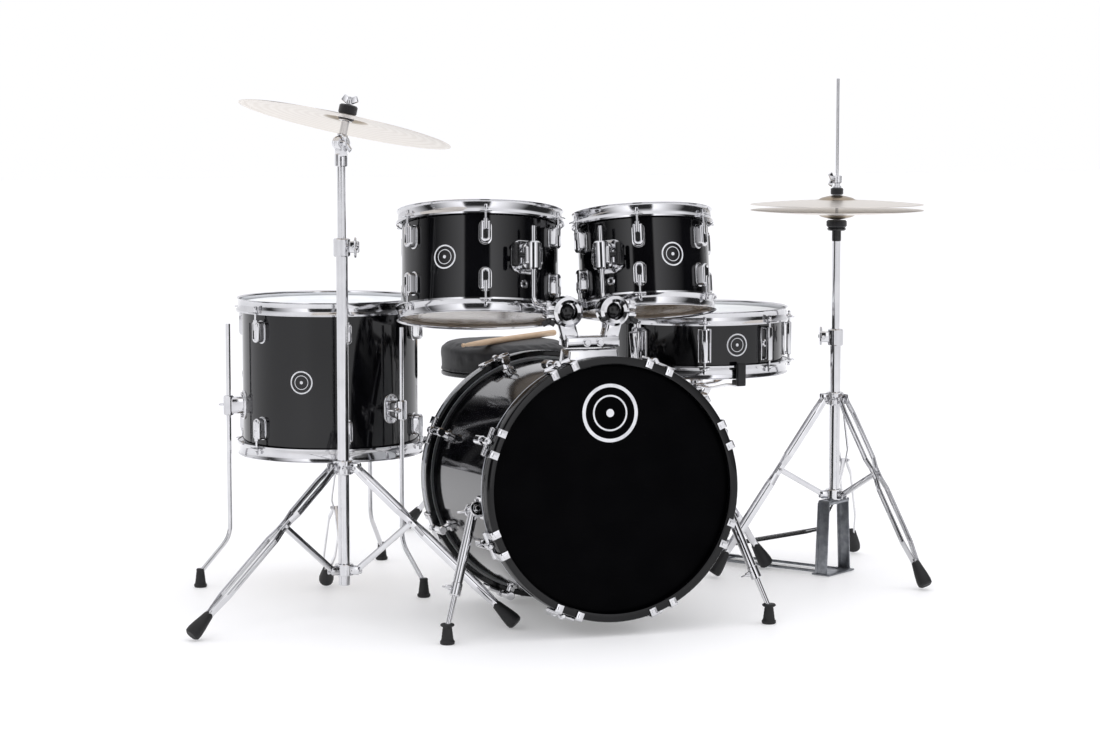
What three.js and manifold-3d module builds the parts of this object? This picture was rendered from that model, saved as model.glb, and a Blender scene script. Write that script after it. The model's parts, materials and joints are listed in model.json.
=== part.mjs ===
// An acoustic drum kit: bass drum, two mounted toms, floor tom, snare, crash cymbal,
// hi-hat, throne and bass pedal. Millimetres, +Z up, the bass drum's front faces -Y.
// The origin is on the floor, under the middle of the whole kit.
import * as THREE from 'three';
import { mergeVertices } from 'three/addons/utils/BufferGeometryUtils.js';
import Module from 'manifold-3d';

// ---- driving dimensions -------------------------------------------------------------

const gap = 0.3;          // clearance between pieces that touch
const turning = 0.7;      // clearance round a faceted ball or axle that turns
const facets = 24;        // sides of the drums and cymbals
const roundness = 8;      // sides of tubes and rods

const film = 1.5;         // thickness of a drum head
const collar = { depth: 8, wall: 5 };       // the ring that a head is stretched on
const rim = { wall: 3.5, above: 11 };       // pressed steel hoop and how far it stands proud
const shellWall = 7;
const tension = { rod: 2.8, ear: 12, earWide: 22, earThick: 5, lugWide: 16, lugOver: 6 };

const bass = {
  radius: 229, length: 450, hoopDeep: 40, hoopOver: 10.5, headInset: 18, tilt: 3.4,
  lugs: 8, lugIn: 70, lugLong: 34, clawWide: 44, clawThick: 9, rod: 3,
};
const spur = {
  ahead: 80, drop: 32, footX: 315, footY: 16, tube: 9, rod: 5, tubeShare: 0.62,
  knuckle: 17, footTall: 30, footRadius: 13, barrel: 10, pin: 3.5,
};
const holder = {
  back: 143, wide: 106, deep: 60, tall: 40, blockWide: 40, blockDeep: 44,
  spread: 46, footShare: 0.72, rise: 98, ball: 16, jawWide: 46, jawTall: 48, jawDeep: 40,
};
const arm = { rod: 5.25, mouth: 13, low: 14, clear: 4 };
const tom12 = {
  name: 'tom12', radius: 152.4, tall: 214, at: [-138, 394], rise: 64, tilt: 11, toward: 72.5,
  lugs: 6, lugTurn: -102.7, lugLong: 40, lugIn: 42, bracket: -72.7, side: -1, rodTop: 150,
};
const tom10 = {
  name: 'tom10', radius: 127, tall: 198, at: [174, 308], rise: 78, tilt: 11, toward: 84,
  lugs: 6, lugTurn: -113.9, lugLong: 40, lugIn: 42, bracket: -141, side: 1, rodTop: 142,
};
const tomBracket = { wide: 30, tall: 52, wall: 8 };
const floorTom = {
  name: 'floor_tom', radius: 177.8, tall: 317, at: [-358, 723], low: 268,
  lugs: 6, lugTurn: -153.5, lugLong: 44, lugIn: 40,
};
const floorLeg = {
  rod: 4.75, turns: [177.7, -61.5, 53.3], names: ['left', 'right', 'rear'],
  top: 534, bend: 102, footOut: 271, bracketAt: 347, bracketTall: 44, bracketWide: 34,
  footRadius: 13, footTall: 36,
};
const snare = {
  name: 'snare', radius: 177.8, tall: 135, at: [387, 583], low: 424,
  lugs: 8, lugTurn: -106.3, lugLong: 69, lugIn: 33,
};
const snareStand = {
  tube: 11, bore: 8.3, stem: 8, top: 320, foot: 155, turn: -4.3, collar: 225, lower: 68,
  clamp: 17, clampTall: 34, knuckle: 52, hub: 15, hubTall: 16, armWide: 18, armThick: 5,
  armTurn: -84, padWide: 20, padTall: 34, padThick: 12,
};
const crash = {
  at: [-430, 325], tube: 11, top: 717, collar: 289, hinge: 26,
  foot: 343, turns: [203, 322.4, 82.3], names: ['left', 'right', 'rear'], link: 150,
  upper: 8, upperLow: 470, upperTop: 889, tilter: 902, cymbal: 953, rodTop: 988,
  radius: 203, bow: 14, bell: 22, lean: [0.235, 0.049], hole: 6.5, rod: 4,
};
const openBrace = 0.72;    // how far down an open tripod's braces meet its legs
const leg = { strip: 9, thick: 3, inside: 18, rivet: 2.5, footRadius: 12, footTall: 30 };
const band = { over: 8, half: 13, lowHalf: 11, tab: 10, clamp: 5 };  // rings round a tube
const hihat = {
  at: [658, 486], tube: 11, top: 505, upper: 8.2, upperLow: 380,
  low: 757.5, high: 768, radius: 178, bow: 13, bell: 24, hole: 6.5, rod: 3,
  rodTop: 1027, collar: 367, lower: 166, foot: 258, turns: [175, 291, 56],
  toePull: 150, boardWide: 84, boardThick: 7, heading: 124.6, frameWide: 74, rodsApart: 56,
  frameTall: 150, toeHeight: 88, heelAt: 300,
};
const throne = {
  at: [163, 1205], seat: 150, top: 440, thick: 70, tube: 12, foot: 230,
  collar: 250, lower: 90, turn: 30, spindle: 9, tubeTop: 330,
};
const pedal = {
  plateWide: 90, plateThick: 5, length: 300, boardWide: 76, boardThick: 6, postTall: 205,
  postApart: 106, post: 8, axle: 5, beater: 165, headRadius: 21, headLong: 46, lean: 42,
  behind: 48, toeGap: 12, toeHeight: 112, grip: 36,
};
const toeAt = 34;                      // how far a pedal board's toe is from its post
const hinge = { z: 24, radius: 5, pin: 2 };  // where a pedal board turns at its heel
const cymbalThick = 1.6;
const feltThick = 7.5;

// ---- materials ----------------------------------------------------------------------

const finish = (color, roughness, metalness) =>
  new THREE.MeshStandardMaterial({ color, roughness, metalness });
const wrap = finish('#131419', 0.16, 0);
const lacquer = finish('#17181c', 0.12, 0);
const chrome = finish('#d9dbe0', 0.12, 1);
const steel = finish('#8d9096', 0.4, 1);
const coated = finish('#eef0f2', 0.7, 0);
const smoked = finish('#7d7166', 0.35, 0);
const blackFilm = finish('#1b1c1f', 0.45, 0);
const bronze = finish('#c9bfa6', 0.28, 1);
const rubber = finish('#16161a', 0.85, 0);
const vinyl = finish('#1a1a1d', 0.5, 0);

// ---- shapes -------------------------------------------------------------------------

const wasm = await Module();
wasm.setup();
const X = new THREE.Vector3(1, 0, 0);
const Y = new THREE.Vector3(0, 1, 0);
const Z = new THREE.Vector3(0, 0, 1);
const rad = THREE.MathUtils.degToRad;
const vec = (p) => new THREE.Vector3(...p);
const polar = (radius, degrees, z = 0, at = [0, 0]) =>
  [at[0] + radius * Math.cos(rad(degrees)), at[1] + radius * Math.sin(rad(degrees)), z];

// A closed geometry, moved by a matrix, as a solid that can be joined and cut.
function solid(geometry, matrix = new THREE.Matrix4()) {
  const bare = geometry.clone().applyMatrix4(matrix);
  bare.deleteAttribute('normal');
  bare.deleteAttribute('uv');
  const merged = mergeVertices(bare, 1e-4);
  const vertProperties = new Float32Array(merged.attributes.position.array);
  const triVerts = new Uint32Array(merged.index.array);
  return new wasm.Manifold(new wasm.Mesh({ numProp: 3, vertProperties, triVerts }));
}

function surface(body) {
  const mesh = body.getMesh();
  const geometry = new THREE.BufferGeometry();
  geometry.setAttribute('position', new THREE.BufferAttribute(mesh.vertProperties, 3));
  geometry.setIndex(new THREE.BufferAttribute(mesh.triVerts, 1));
  geometry.computeVertexNormals();
  return geometry;
}

function piece(name, body, material) {
  const mesh = new THREE.Mesh(surface(body), material);
  mesh.name = name;
  return mesh;
}

const join = (...solids) => solids.flat().reduce((all, one) => all.add(one));
const cut = (body, ...tools) => tools.flat().reduce((all, one) => all.subtract(one), body);

// A frame with its Z along one direction and its X held as near as it can be to another.
function along(from, direction, side = X) {
  const z = direction.clone().normalize();
  const y = z.clone().cross(side).normalize();
  const x = y.clone().cross(z);
  return new THREE.Matrix4().makeBasis(x, y, z).setPosition(...from);
}

const standing = new THREE.Matrix4().makeRotationX(Math.PI / 2);

// A turned shape about Z, from points of radius and height.
function turned(profile, matrix = new THREE.Matrix4(), sides = facets) {
  const points = profile.map(([r, z]) => new THREE.Vector2(r, z));
  const lathe = new THREE.LatheGeometry(points, sides);
  return solid(lathe, matrix.clone().multiply(standing));
}

function rod(radius, from, to, sides = roundness, tip = radius) {
  const direction = vec(to).sub(vec(from));
  const side = Math.abs(direction.clone().normalize().dot(X)) > 0.9 ? Y : X;
  const profile = [[0, 0], [radius, 0], [tip, direction.length()], [0, direction.length()]];
  return turned(profile, along(from, direction, side), sides);
}

const block = (size, centre, matrix = new THREE.Matrix4()) =>
  solid(new THREE.BoxGeometry(...size), matrix.clone().multiply(
    new THREE.Matrix4().makeTranslation(...centre)));

// A block that stands out from an upright axis: width across, reach outwards, height up.
function standoff(wide, near, far, low, high, degrees, at = [0, 0]) {
  const turn = new THREE.Matrix4().makeRotationZ(rad(degrees)).setPosition(at[0], at[1], 0);
  return block([far - near, wide, high - low], [(near + far) / 2, 0, (low + high) / 2], turn);
}

const ring = (inner, outer, low, high, matrix, sides = facets) =>
  turned([[inner, low], [outer, low], [outer, high], [inner, high], [inner, low]], matrix, sides);

const ball = (radius, centre, sides = roundness) =>
  solid(new THREE.SphereGeometry(radius, sides, sides / 2 + 1).rotateX(Math.PI / 2),
    new THREE.Matrix4().makeTranslation(...centre));

const evenly = (count, start = 0) => Array.from({ length: count }, (_, i) => start + (i * 360) / count);

function group(...members) {
  const all = new THREE.Group();
  all.add(...members.flat());
  return all;
}

// ---- drums --------------------------------------------------------------------------

const hoopOuter = (radius) => radius + collar.wall + gap + rim.wall;
const rodOut = (radius) => hoopOuter(radius) + tension.ear / 2;

// A head: film over the shell's edge and down into the ring that holds it.
function head(radius, edge, up) {
  const outer = radius + collar.wall;
  const inner = radius + gap;
  const line = [
    [0, gap], [inner, gap], [inner, -collar.depth], [outer, -collar.depth],
    [outer, film + gap], [0, film + gap],
  ].map(([r, z]) => [r, edge + up * z]);
  return turned(up > 0 ? line : line.reverse());
}

// A steel hoop that holds the head's ring down, with an ear and a tension rod at each lug.
function hoop(radius, edge, up, turns, rodEnd) {
  const inner = radius + collar.wall + gap;
  const outer = hoopOuter(radius);
  const line = [
    [inner, -collar.depth], [outer, -collar.depth], [outer, rim.above],
    [radius, rim.above], [radius, film + 2 * gap], [inner, film + 2 * gap],
    [inner, -collar.depth],
  ].map(([r, z]) => [r, edge + up * z]);
  const steelBand = turned(up > 0 ? line : line.reverse());
  const low = edge - up * collar.depth;
  const high = low + up * tension.earThick;
  const ears = turns.map((turn) => standoff(tension.earWide, outer - 3, outer + tension.ear,
    Math.min(low, high), Math.max(low, high), turn));
  const rods = turns.map((turn) => rod(tension.rod, polar(rodOut(radius), turn, high),
    polar(rodOut(radius), turn, rodEnd), 4));
  return join(steelBand, ears, rods);
}

// Lugs on a shell: a pair at each turn, which meet as one where they are long enough.
function lugBlocks(spec, turns) {
  const reach = rodOut(spec.radius) + tension.lugOver;
  const starts = [spec.lugIn, spec.tall - spec.lugIn - spec.lugLong];
  return turns.flatMap((turn) => starts.map((low) => standoff(tension.lugWide,
    spec.radius - 2, reach, low, low + spec.lugLong, turn)));
}

const shellEdge = rim.above;

// The five pieces of a tom or snare, standing on its lower hoop at height 0.
function drum(spec, skins, extras = [], holes = []) {
  const turns = evenly(spec.lugs, spec.lugTurn);
  const low = shellEdge;
  const high = spec.tall - shellEdge;
  const tube = ring(spec.radius - shellWall, spec.radius, low, high);
  const shell = cut(join(tube, lugBlocks(spec, turns), extras), ...holes);
  return [
    piece(`${spec.name}_shell`, shell, wrap),
    piece(`${spec.name}_top_hoop`, hoop(spec.radius, high, 1, turns, spec.tall - spec.lugIn + gap), chrome),
    piece(`${spec.name}_bottom_hoop`, hoop(spec.radius, low, -1, turns, spec.lugIn - gap), chrome),
    piece(`${spec.name}_batter_head`, head(spec.radius, high, 1), skins[0]),
    piece(`${spec.name}_resonant_head`, head(spec.radius, low, -1), skins[1]),
  ];
}

// ---- bass drum, lying on its side: its own Z runs from the rear hoop to the front ----

const bassTurn = new THREE.Matrix4().makeRotationX(rad(90 - bass.tilt));
const bassHoopRadius = bass.radius + bass.hoopOver + collar.wall;
const bassAxisRear = bassHoopRadius * Math.cos(rad(bass.tilt));
const bassPlace = bassTurn.clone().setPosition(0, bass.length * Math.cos(rad(bass.tilt)), bassAxisRear);
const inKit = (p) => vec(p).applyMatrix4(bassPlace).toArray();
const bassTurns = evenly(bass.lugs, 90 + 22.5);
const bassEdge = { rear: bass.headInset, front: bass.length - bass.headInset };

function bassHoop(edge, outerFace, up) {
  const inner = bass.radius + collar.wall + gap;
  const back = outerFace - up * bass.hoopDeep;
  const line = [
    [inner, back], [bassHoopRadius, back], [bassHoopRadius, outerFace],
    [bass.radius + gap, outerFace], [bass.radius + gap, edge + up * (film + 2 * gap)],
    [inner, edge + up * (film + 2 * gap)], [inner, back],
  ];
  const wood = turned(up > 0 ? line : line.reverse());
  const reach = bassHoopRadius + bass.clawThick;
  const face = outerFace + up * 2;
  const claws = bassTurns.map((turn) => standoff(bass.clawWide, bassHoopRadius - 4, reach,
    Math.min(back, face), Math.max(back, face), turn));
  const rodRadius = bassHoopRadius + bass.clawThick / 2;
  const lugEnd = up > 0 ? bass.length - bass.lugIn + gap : bass.lugIn - gap;
  const rods = bassTurns.map((turn) => rod(bass.rod, polar(rodRadius, turn, back + up),
    polar(rodRadius, turn, lugEnd), 4));
  return join(wood, claws, rods);
}

// Outboard point of a spur's hinge, on the shell's side, in the drum's own frame.
const spurHinge = (side) => {
  const x = bass.radius + spur.knuckle;
  return [side * x, -spur.drop, bass.length - spur.ahead];
};

// The hinge line of a spur, square to the spur and as near to the drum's axis as it can be.
function spurFrame(side) {
  const foot = vec([side * spur.footX, spur.footY, spur.footTall])
    .applyMatrix4(bassPlace.clone().invert());
  const hinge = spurHinge(side);
  const down = foot.sub(vec(hinge)).normalize();
  const axis = Z.clone().addScaledVector(down, -down.z).normalize();
  return along(hinge, axis, X.clone().multiplyScalar(side));
}

function bassShell() {
  const tube = ring(bass.radius - shellWall, bass.radius, bassEdge.rear, bassEdge.front);
  const rodRadius = bassHoopRadius + bass.clawThick / 2;
  const lug = (turn, from) => standoff(tension.lugWide, bass.radius - 2, rodRadius + 7,
    from, from + bass.lugLong, turn);
  const rearLugs = bassTurns.map((turn) => lug(turn, bass.lugIn));
  const frontLugs = bassTurns.map((turn) => lug(turn, bass.length - bass.lugIn - bass.lugLong));
  const brackets = [-1, 1].map((side) => {
    const [x, y, z] = spurHinge(side);
    const frame = spurFrame(side);
    const inward = spur.knuckle + 4;
    const cheek = (offset) => block([inward + 9, 30, 6], [(9 - inward) / 2, 0, offset], frame);
    const pad = block([9, 52, 56], [side * (bass.radius - 1), y, z]);
    const pin = rod(spur.pin, onFrame(frame, -18), onFrame(frame, 18), 8);
    return join(pad, cheek(-15), cheek(15), pin);
  });
  return join(tube, rearLugs, frontLugs, brackets);
}

const onFrame = (frame, height) => vec([0, 0, height]).applyMatrix4(frame).toArray();

function bassDrum() {
  const kitPieces = [
    piece('bass_shell', bassShell(), wrap),
    piece('bass_front_hoop', bassHoop(bassEdge.front, bass.length, 1), lacquer),
    piece('bass_rear_hoop', bassHoop(bassEdge.rear, 0, -1), lacquer),
    piece('bass_front_head', head(bass.radius, bassEdge.front, 1), blackFilm),
    piece('bass_rear_head', head(bass.radius, bassEdge.rear, -1), coated),
  ];
  const drumGroup = group(kitPieces);
  drumGroup.applyMatrix4(bassPlace);
  return drumGroup;
}

// A spur: a tube hinged at the shell and a rod that slides in it, down to a rubber foot.
function spurLeg(side, name) {
  const hinge = inKit(spurHinge(side));
  const foot = [side * spur.footX, spur.footY, spur.footTall];
  const down = vec(foot).sub(vec(hinge));
  const at = (share) => vec(hinge).add(down.clone().multiplyScalar(share)).toArray();
  const frame = bassPlace.clone().multiply(spurFrame(side));
  const knuckle = (radius, half, sides) => rod(radius, onFrame(frame, -half),
    onFrame(frame, half), sides);
  const tube = cut(
    join(rod(spur.tube, at(0.04), at(spur.tubeShare)), knuckle(spur.barrel, 11.7, roundness)),
    rod(spur.rod + gap, at(0.16), at(1)), knuckle(spur.pin + gap, 20, 8));
  const inner = join(rod(spur.rod, at(0.24), foot),
    rod(spur.footRadius, [foot[0], foot[1], 0], [foot[0], foot[1], spur.footTall + 4], 10, 8));
  return [
    piece(`spur_tube_${name}`, tube, chrome),
    piece(`spur_foot_${name}`, inner, chrome),
  ];
}

// ---- tom holder and arms ------------------------------------------------------------

const holderTop = inKit([0, bass.radius, bass.length - holder.back]);
const ballAt = (side) => [side * holder.spread, holder.back, holderTop[2] + holder.rise];

// A tom's frame stands on the middle of its lower hoop and leans towards the player.
function tomPlace(tom) {
  const lean = vec(polar(Math.sin(rad(tom.tilt)), tom.toward, Math.cos(rad(tom.tilt))));
  return along([...tom.at, holderTop[2] + tom.rise], lean);
}

const armRadius = (tom) => hoopOuter(tom.radius) + tension.ear + arm.rod + arm.clear;
const onArm = (tom, z) => vec(polar(armRadius(tom), tom.bracket, z)).applyMatrix4(tomPlace(tom));
const armCorner = (tom) => onArm(tom, arm.low);
const armTop = (tom) => onArm(tom, arm.low + tom.rodTop);

function tomArm(tom) {
  const from = ballAt(tom.side);
  const corner = armCorner(tom).toArray();
  const bend = ball(arm.rod * 1.04, corner);
  return join(ball(holder.ball, from, 2 * roundness), rod(arm.rod, from, corner), bend,
    rod(arm.rod, corner, armTop(tom).toArray()));
}

function tomHolder() {
  const [, y, z] = holderTop;
  const top = z + holder.tall;
  const saddle = block([holder.wide, holder.deep, holder.tall + 30], [0, y, top - (holder.tall + 30) / 2]);
  const parts = [tom12, tom10].map((tom) => {
    const centre = ballAt(tom.side);
    const jawLow = centre[2] - holder.jawTall / 2;
    const foot = block([holder.blockWide, holder.blockDeep, jawLow - top + 8],
      [centre[0] * holder.footShare, y, (jawLow + top) / 2]);
    const jaw = block([holder.jawWide, holder.jawDeep, holder.jawTall], centre);
    const out = armCorner(tom).sub(vec(centre)).setZ(0).normalize();
    const slot = along(centre, out, Z);
    const mouth = block([holder.jawTall * 2, arm.mouth, 80], [0, 0, 40], slot);
    return cut(join(foot, jaw), ball(holder.ball + turning, centre, 2 * roundness), mouth);
  });
  const shellSpace = turned([[0, 0], [bass.radius + gap, 0], [bass.radius + gap, bass.length],
    [0, bass.length]], bassPlace);
  return piece('tom_holder', cut(join(saddle, parts), shellSpace), chrome);
}

function mountedTom(tom) {
  const out = armRadius(tom);
  const reach = out + arm.rod + tomBracket.wall;
  const low = (tom.tall - tomBracket.tall) / 2;
  const high = low + tomBracket.tall;
  const bracket = standoff(tomBracket.wide, tom.radius - 2, reach, low, high, tom.bracket);
  const bore = rod(arm.rod + gap, polar(out, tom.bracket, low - 5),
    polar(out, tom.bracket, high + 5));
  const tomGroup = group(drum(tom, [coated, smoked], [bracket], [bore]));
  tomGroup.applyMatrix4(tomPlace(tom));
  return [tomGroup, piece(`${tom.name}_arm`, tomArm(tom), chrome)];
}

// ---- floor tom ----------------------------------------------------------------------

const legOut = hoopOuter(floorTom.radius) + tension.ear + floorLeg.rod + 6;

function floorLegRod(turn, name) {
  const point = (radius, z) => polar(radius, turn, z, floorTom.at);
  const bend = point(legOut, floorLeg.bend);
  const ankle = point(floorLeg.footOut, floorLeg.footTall);
  const sole = point(floorLeg.footOut, 0);
  const body = join(rod(floorLeg.rod, bend, point(legOut, floorLeg.top)),
    ball(floorLeg.rod * 1.04, bend), rod(floorLeg.rod, bend, ankle),
    rod(floorLeg.footRadius, sole, point(floorLeg.footOut, floorLeg.footTall + 5), 10, 9));
  return piece(`floor_tom_leg_${name}`, body, chrome);
}

function floorTomDrum() {
  const low = floorLeg.bracketAt - floorTom.low;
  const brackets = floorLeg.turns.map((turn) => standoff(floorLeg.bracketWide, floorTom.radius - 2,
    legOut + floorLeg.rod + 8, low, low + floorLeg.bracketTall, turn));
  const bores = floorLeg.turns.map((turn) => rod(floorLeg.rod + gap,
    polar(legOut, turn, low - 5), polar(legOut, turn, low + floorLeg.bracketTall + 5)));
  const drumGroup = group(drum(floorTom, [coated, smoked], brackets, bores));
  drumGroup.position.set(...floorTom.at, floorTom.low);
  return [drumGroup, floorLeg.turns.map((turn, i) => floorLegRod(turn, floorLeg.names[i]))];
}

// ---- stand bases --------------------------------------------------------------------

// A flat bar between two heights and radii on one side of an upright axis.
function bar(at, turn, from, to, wide, tall, matrixOnly = false) {
  const start = vec(polar(from[0], turn, from[1], at));
  const end = vec(polar(to[0], turn, to[1], at));
  const across = vec(polar(1, turn + 90));
  const frame = along(start.toArray(), end.clone().sub(start), across);
  if (matrixOnly) return frame;
  const length = end.distanceTo(start);
  return block([wide, tall, length], [0, 0, length / 2], frame);
}

// Two strips side by side, with room for a brace between them.
function legStrips(at, turn, from, to) {
  const frame = bar(at, turn, from, to, 1, 1, true);
  const length = Math.hypot(to[0] - from[0], to[1] - from[1]);
  const offset = leg.inside / 2 + gap + leg.thick / 2;
  return [-1, 1].map((side) => block([leg.thick, leg.strip, length],
    [side * offset, 0, length / 2], frame));
}

const legFoot = (at, turn, radius) => rod(leg.footRadius * 1.15, polar(radius, turn, 0, at),
  polar(radius, turn, leg.footTall, at), 10, leg.footRadius);

// A tripod that stays open: collar, lower ring, three double legs and three braces.
function openTripod(at, tube, spec, turns) {
  const bands = [[spec.collar, band.half], [spec.lower, band.lowHalf]].map(([z, half]) =>
    ring(tube - 1, tube + band.over, z - half, z + half,
      new THREE.Matrix4().makeTranslation(...at, 0), roundness));
  const start = tube + 12;
  const legs = turns.map((turn) => {
    const slope = (spec.collar - leg.footTall / 2) / (spec.foot - start);
    const drop = (spec.collar - spec.lower) * openBrace;
    const mid = [start + drop / slope, spec.collar - drop];
    return [
      standoff(leg.inside + 2, tube, start + 8, spec.collar - 10, spec.collar + 10, turn, at),
      standoff(leg.inside, tube, start + 8, spec.lower - 8, spec.lower + 8, turn, at),
      legStrips(at, turn, [start, spec.collar], [spec.foot, leg.footTall / 2]),
      bar(at, turn, [start, spec.lower], mid, leg.inside + 2, 7),
      legFoot(at, turn, spec.foot),
    ].flat();
  });
  return join(bands, legs.flat());
}

const tubeSolid = (at, radius, low, high, sides = roundness) =>
  rod(radius, [...at, low], [...at, high], sides);

// ---- crash stand: its legs and braces fold together ---------------------------------

const legSlope = Math.atan2(crash.foot - crash.hinge, crash.collar - leg.footTall / 2);
const crashMid = [crash.hinge + crash.link * Math.sin(legSlope),
  crash.collar - crash.link * Math.cos(legSlope)];
const crashLower = crash.collar - 2 * crash.link * Math.cos(legSlope);

const crosswise = (turn, radius, z, half, thick, sides = 8) => {
  const across = vec(polar(1, turn + 90));
  const middle = vec(polar(radius, turn, z, crash.at));
  return rod(thick, middle.clone().addScaledVector(across, -half).toArray(),
    middle.clone().addScaledVector(across, half).toArray(), sides);
};

function crashMast() {
  const at = crash.at;
  const tube = tubeSolid(at, crash.tube, crashLower - 30, crash.top);
  const ringBand = tubeSolid(at, crash.tube + band.over, crashLower - band.lowHalf,
    crashLower + band.lowHalf);
  const tabs = crash.turns.map((turn) => standoff(leg.inside - 6.6, crash.tube,
    crash.hinge + 8, crashLower - 8, crashLower + 8, turn, at));
  const clamp = tubeSolid(at, crash.tube + band.clamp, crash.top - 32, crash.top + 8);
  const holes = crash.turns.map((turn) => crosswise(turn, crash.hinge, crashLower, 20, leg.rivet + gap));
  const bore = tubeSolid(at, crash.upper + gap, crash.collar + 20, crash.top + 20);
  return piece('crash_mast', cut(join(tube, ringBand, tabs, clamp), bore, holes), chrome);
}

function crashCollar() {
  const at = crash.at;
  const sleeve = tubeSolid(at, crash.tube + band.over, crash.collar - band.half,
    crash.collar + band.half);
  const tabs = crash.turns.map((turn) => standoff(leg.inside, crash.tube + 2,
    crash.hinge + 8, crash.collar - 8, crash.collar + 8, turn, at));
  const bore = tubeSolid(at, crash.tube + gap, crash.collar - 20, crash.collar + 20);
  const holes = crash.turns.map((turn) => crosswise(turn, crash.hinge, crash.collar, 20, leg.rivet + gap));
  return piece('crash_collar', cut(join(sleeve, tabs), bore, holes), chrome);
}

function crashLeg(turn, name) {
  const at = crash.at;
  const strips = legStrips(at, turn, [crash.hinge, crash.collar], [crash.foot, leg.footTall / 2]);
  const rivet = crosswise(turn, crash.hinge, crash.collar, leg.inside / 2 + 3, leg.rivet);
  return piece(`crash_leg_${name}`, join(strips, rivet, legFoot(at, turn, crash.foot)), chrome);
}

function crashBrace(turn, name) {
  const at = crash.at;
  const low = [crash.hinge, crashLower];
  const body = bar(at, turn, low, crashMid, leg.inside, 8);
  const heel = crosswise(turn, ...low, leg.inside / 2, 4.2, 10);
  const slot = standoff(leg.inside - 6, 0, crash.hinge + 15, crashLower - 30, crashLower + 19, turn, at);
  const rivet = crosswise(turn, ...low, leg.inside / 2 - 1, leg.rivet);
  return piece(`crash_brace_${name}`, join(cut(join(body, heel), slot), rivet), chrome);
}

// ---- cymbals ------------------------------------------------------------------------

// A thin bowed disc with a raised bell and a centre hole; its edge lies at height 0.
function cymbalDisc(spec, up, matrix) {
  const bellEdge = spec.radius * 0.21;
  const outline = [[spec.radius, 0], [spec.radius * 0.6, spec.bow * 0.42],
    [bellEdge, spec.bow * 0.66], [spec.hole, cymbalRise(spec)]];
  const over = outline.map(([r, z]) => [r, z + cymbalThick]).reverse();
  const line = [...outline, ...over, outline[0]].map(([r, z]) => [r, up * z]);
  return turned(up > 0 ? line.reverse() : line, matrix);
}

const cymbalRise = (spec) => spec.bow * 0.66 + spec.bell * 0.42;

// ---- crash cymbal on its tilter -----------------------------------------------------

const crashLean = new THREE.Vector3(crash.lean[0], crash.lean[1], 1).normalize();
const tilterAt = [...crash.at, crash.tilter];
const tiltTurn = Math.atan2(crash.lean[1], crash.lean[0]);
const tiltAxis = new THREE.Vector3(-Math.sin(tiltTurn), Math.cos(tiltTurn), 0);
const onTilter = along(tilterAt, crashLean, tiltAxis);
const forkFrame = along(tilterAt, Z, tiltAxis);
const onTilt = (height) => onFrame(onTilter, height);
const cymbalSeat = (crash.cymbal - crash.tilter) / crashLean.z;

function crashTop() {
  const at = crash.at;
  const pinEnd = (reach) => vec(tilterAt).addScaledVector(tiltAxis, reach).toArray();
  const upper = cut(
    join(tubeSolid(at, crash.upper, crash.upperLow, crash.upperTop - 16),
      block([26, 18, 38], [0, 0, -10], forkFrame)),
    block([10 + 2 * gap, 40, 30], [0, 0, 2], forkFrame),
    rod(3 + gap, pinEnd(-30), pinEnd(30), 8));
  const spine = join(
    block([10, 18, 18], [0, 0, 0], onTilter),
    rod(3, pinEnd(-14), pinEnd(14), 8),
    rod(crash.rod, onTilt(0), onTilt((crash.rodTop - crash.tilter) / crashLean.z)),
    rod(9, onTilt(cymbalSeat - feltThick - cymbalThick), onTilt(cymbalSeat - cymbalThick)),
    rod(12, onTilt(cymbalSeat + cymbalThick + gap), onTilt(cymbalSeat + 2 * feltThick)),
    rod(crash.rod + 1.8, onTilt(14), onTilt(cymbalSeat - feltThick)));
  const disc = cymbalDisc(crash, 1, seatOn(onTilter, cymbalSeat - cymbalRise(crash)));
  return [
    piece('crash_upper_tube', upper, chrome),
    piece('crash_tilter', spine, chrome),
    piece('crash_cymbal', disc, bronze),
  ];
}

const seatOn = (matrix, height) =>
  matrix.clone().multiply(new THREE.Matrix4().makeTranslation(0, 0, height));

function crashStand() {
  return [
    crashMast(), crashCollar(), crashTop(),
    crash.turns.map((turn, i) => crashLeg(turn, crash.names[i])),
    crash.turns.map((turn, i) => crashBrace(turn, crash.names[i])),
  ].flat();
}

// ---- snare stand --------------------------------------------------------------------

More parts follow.
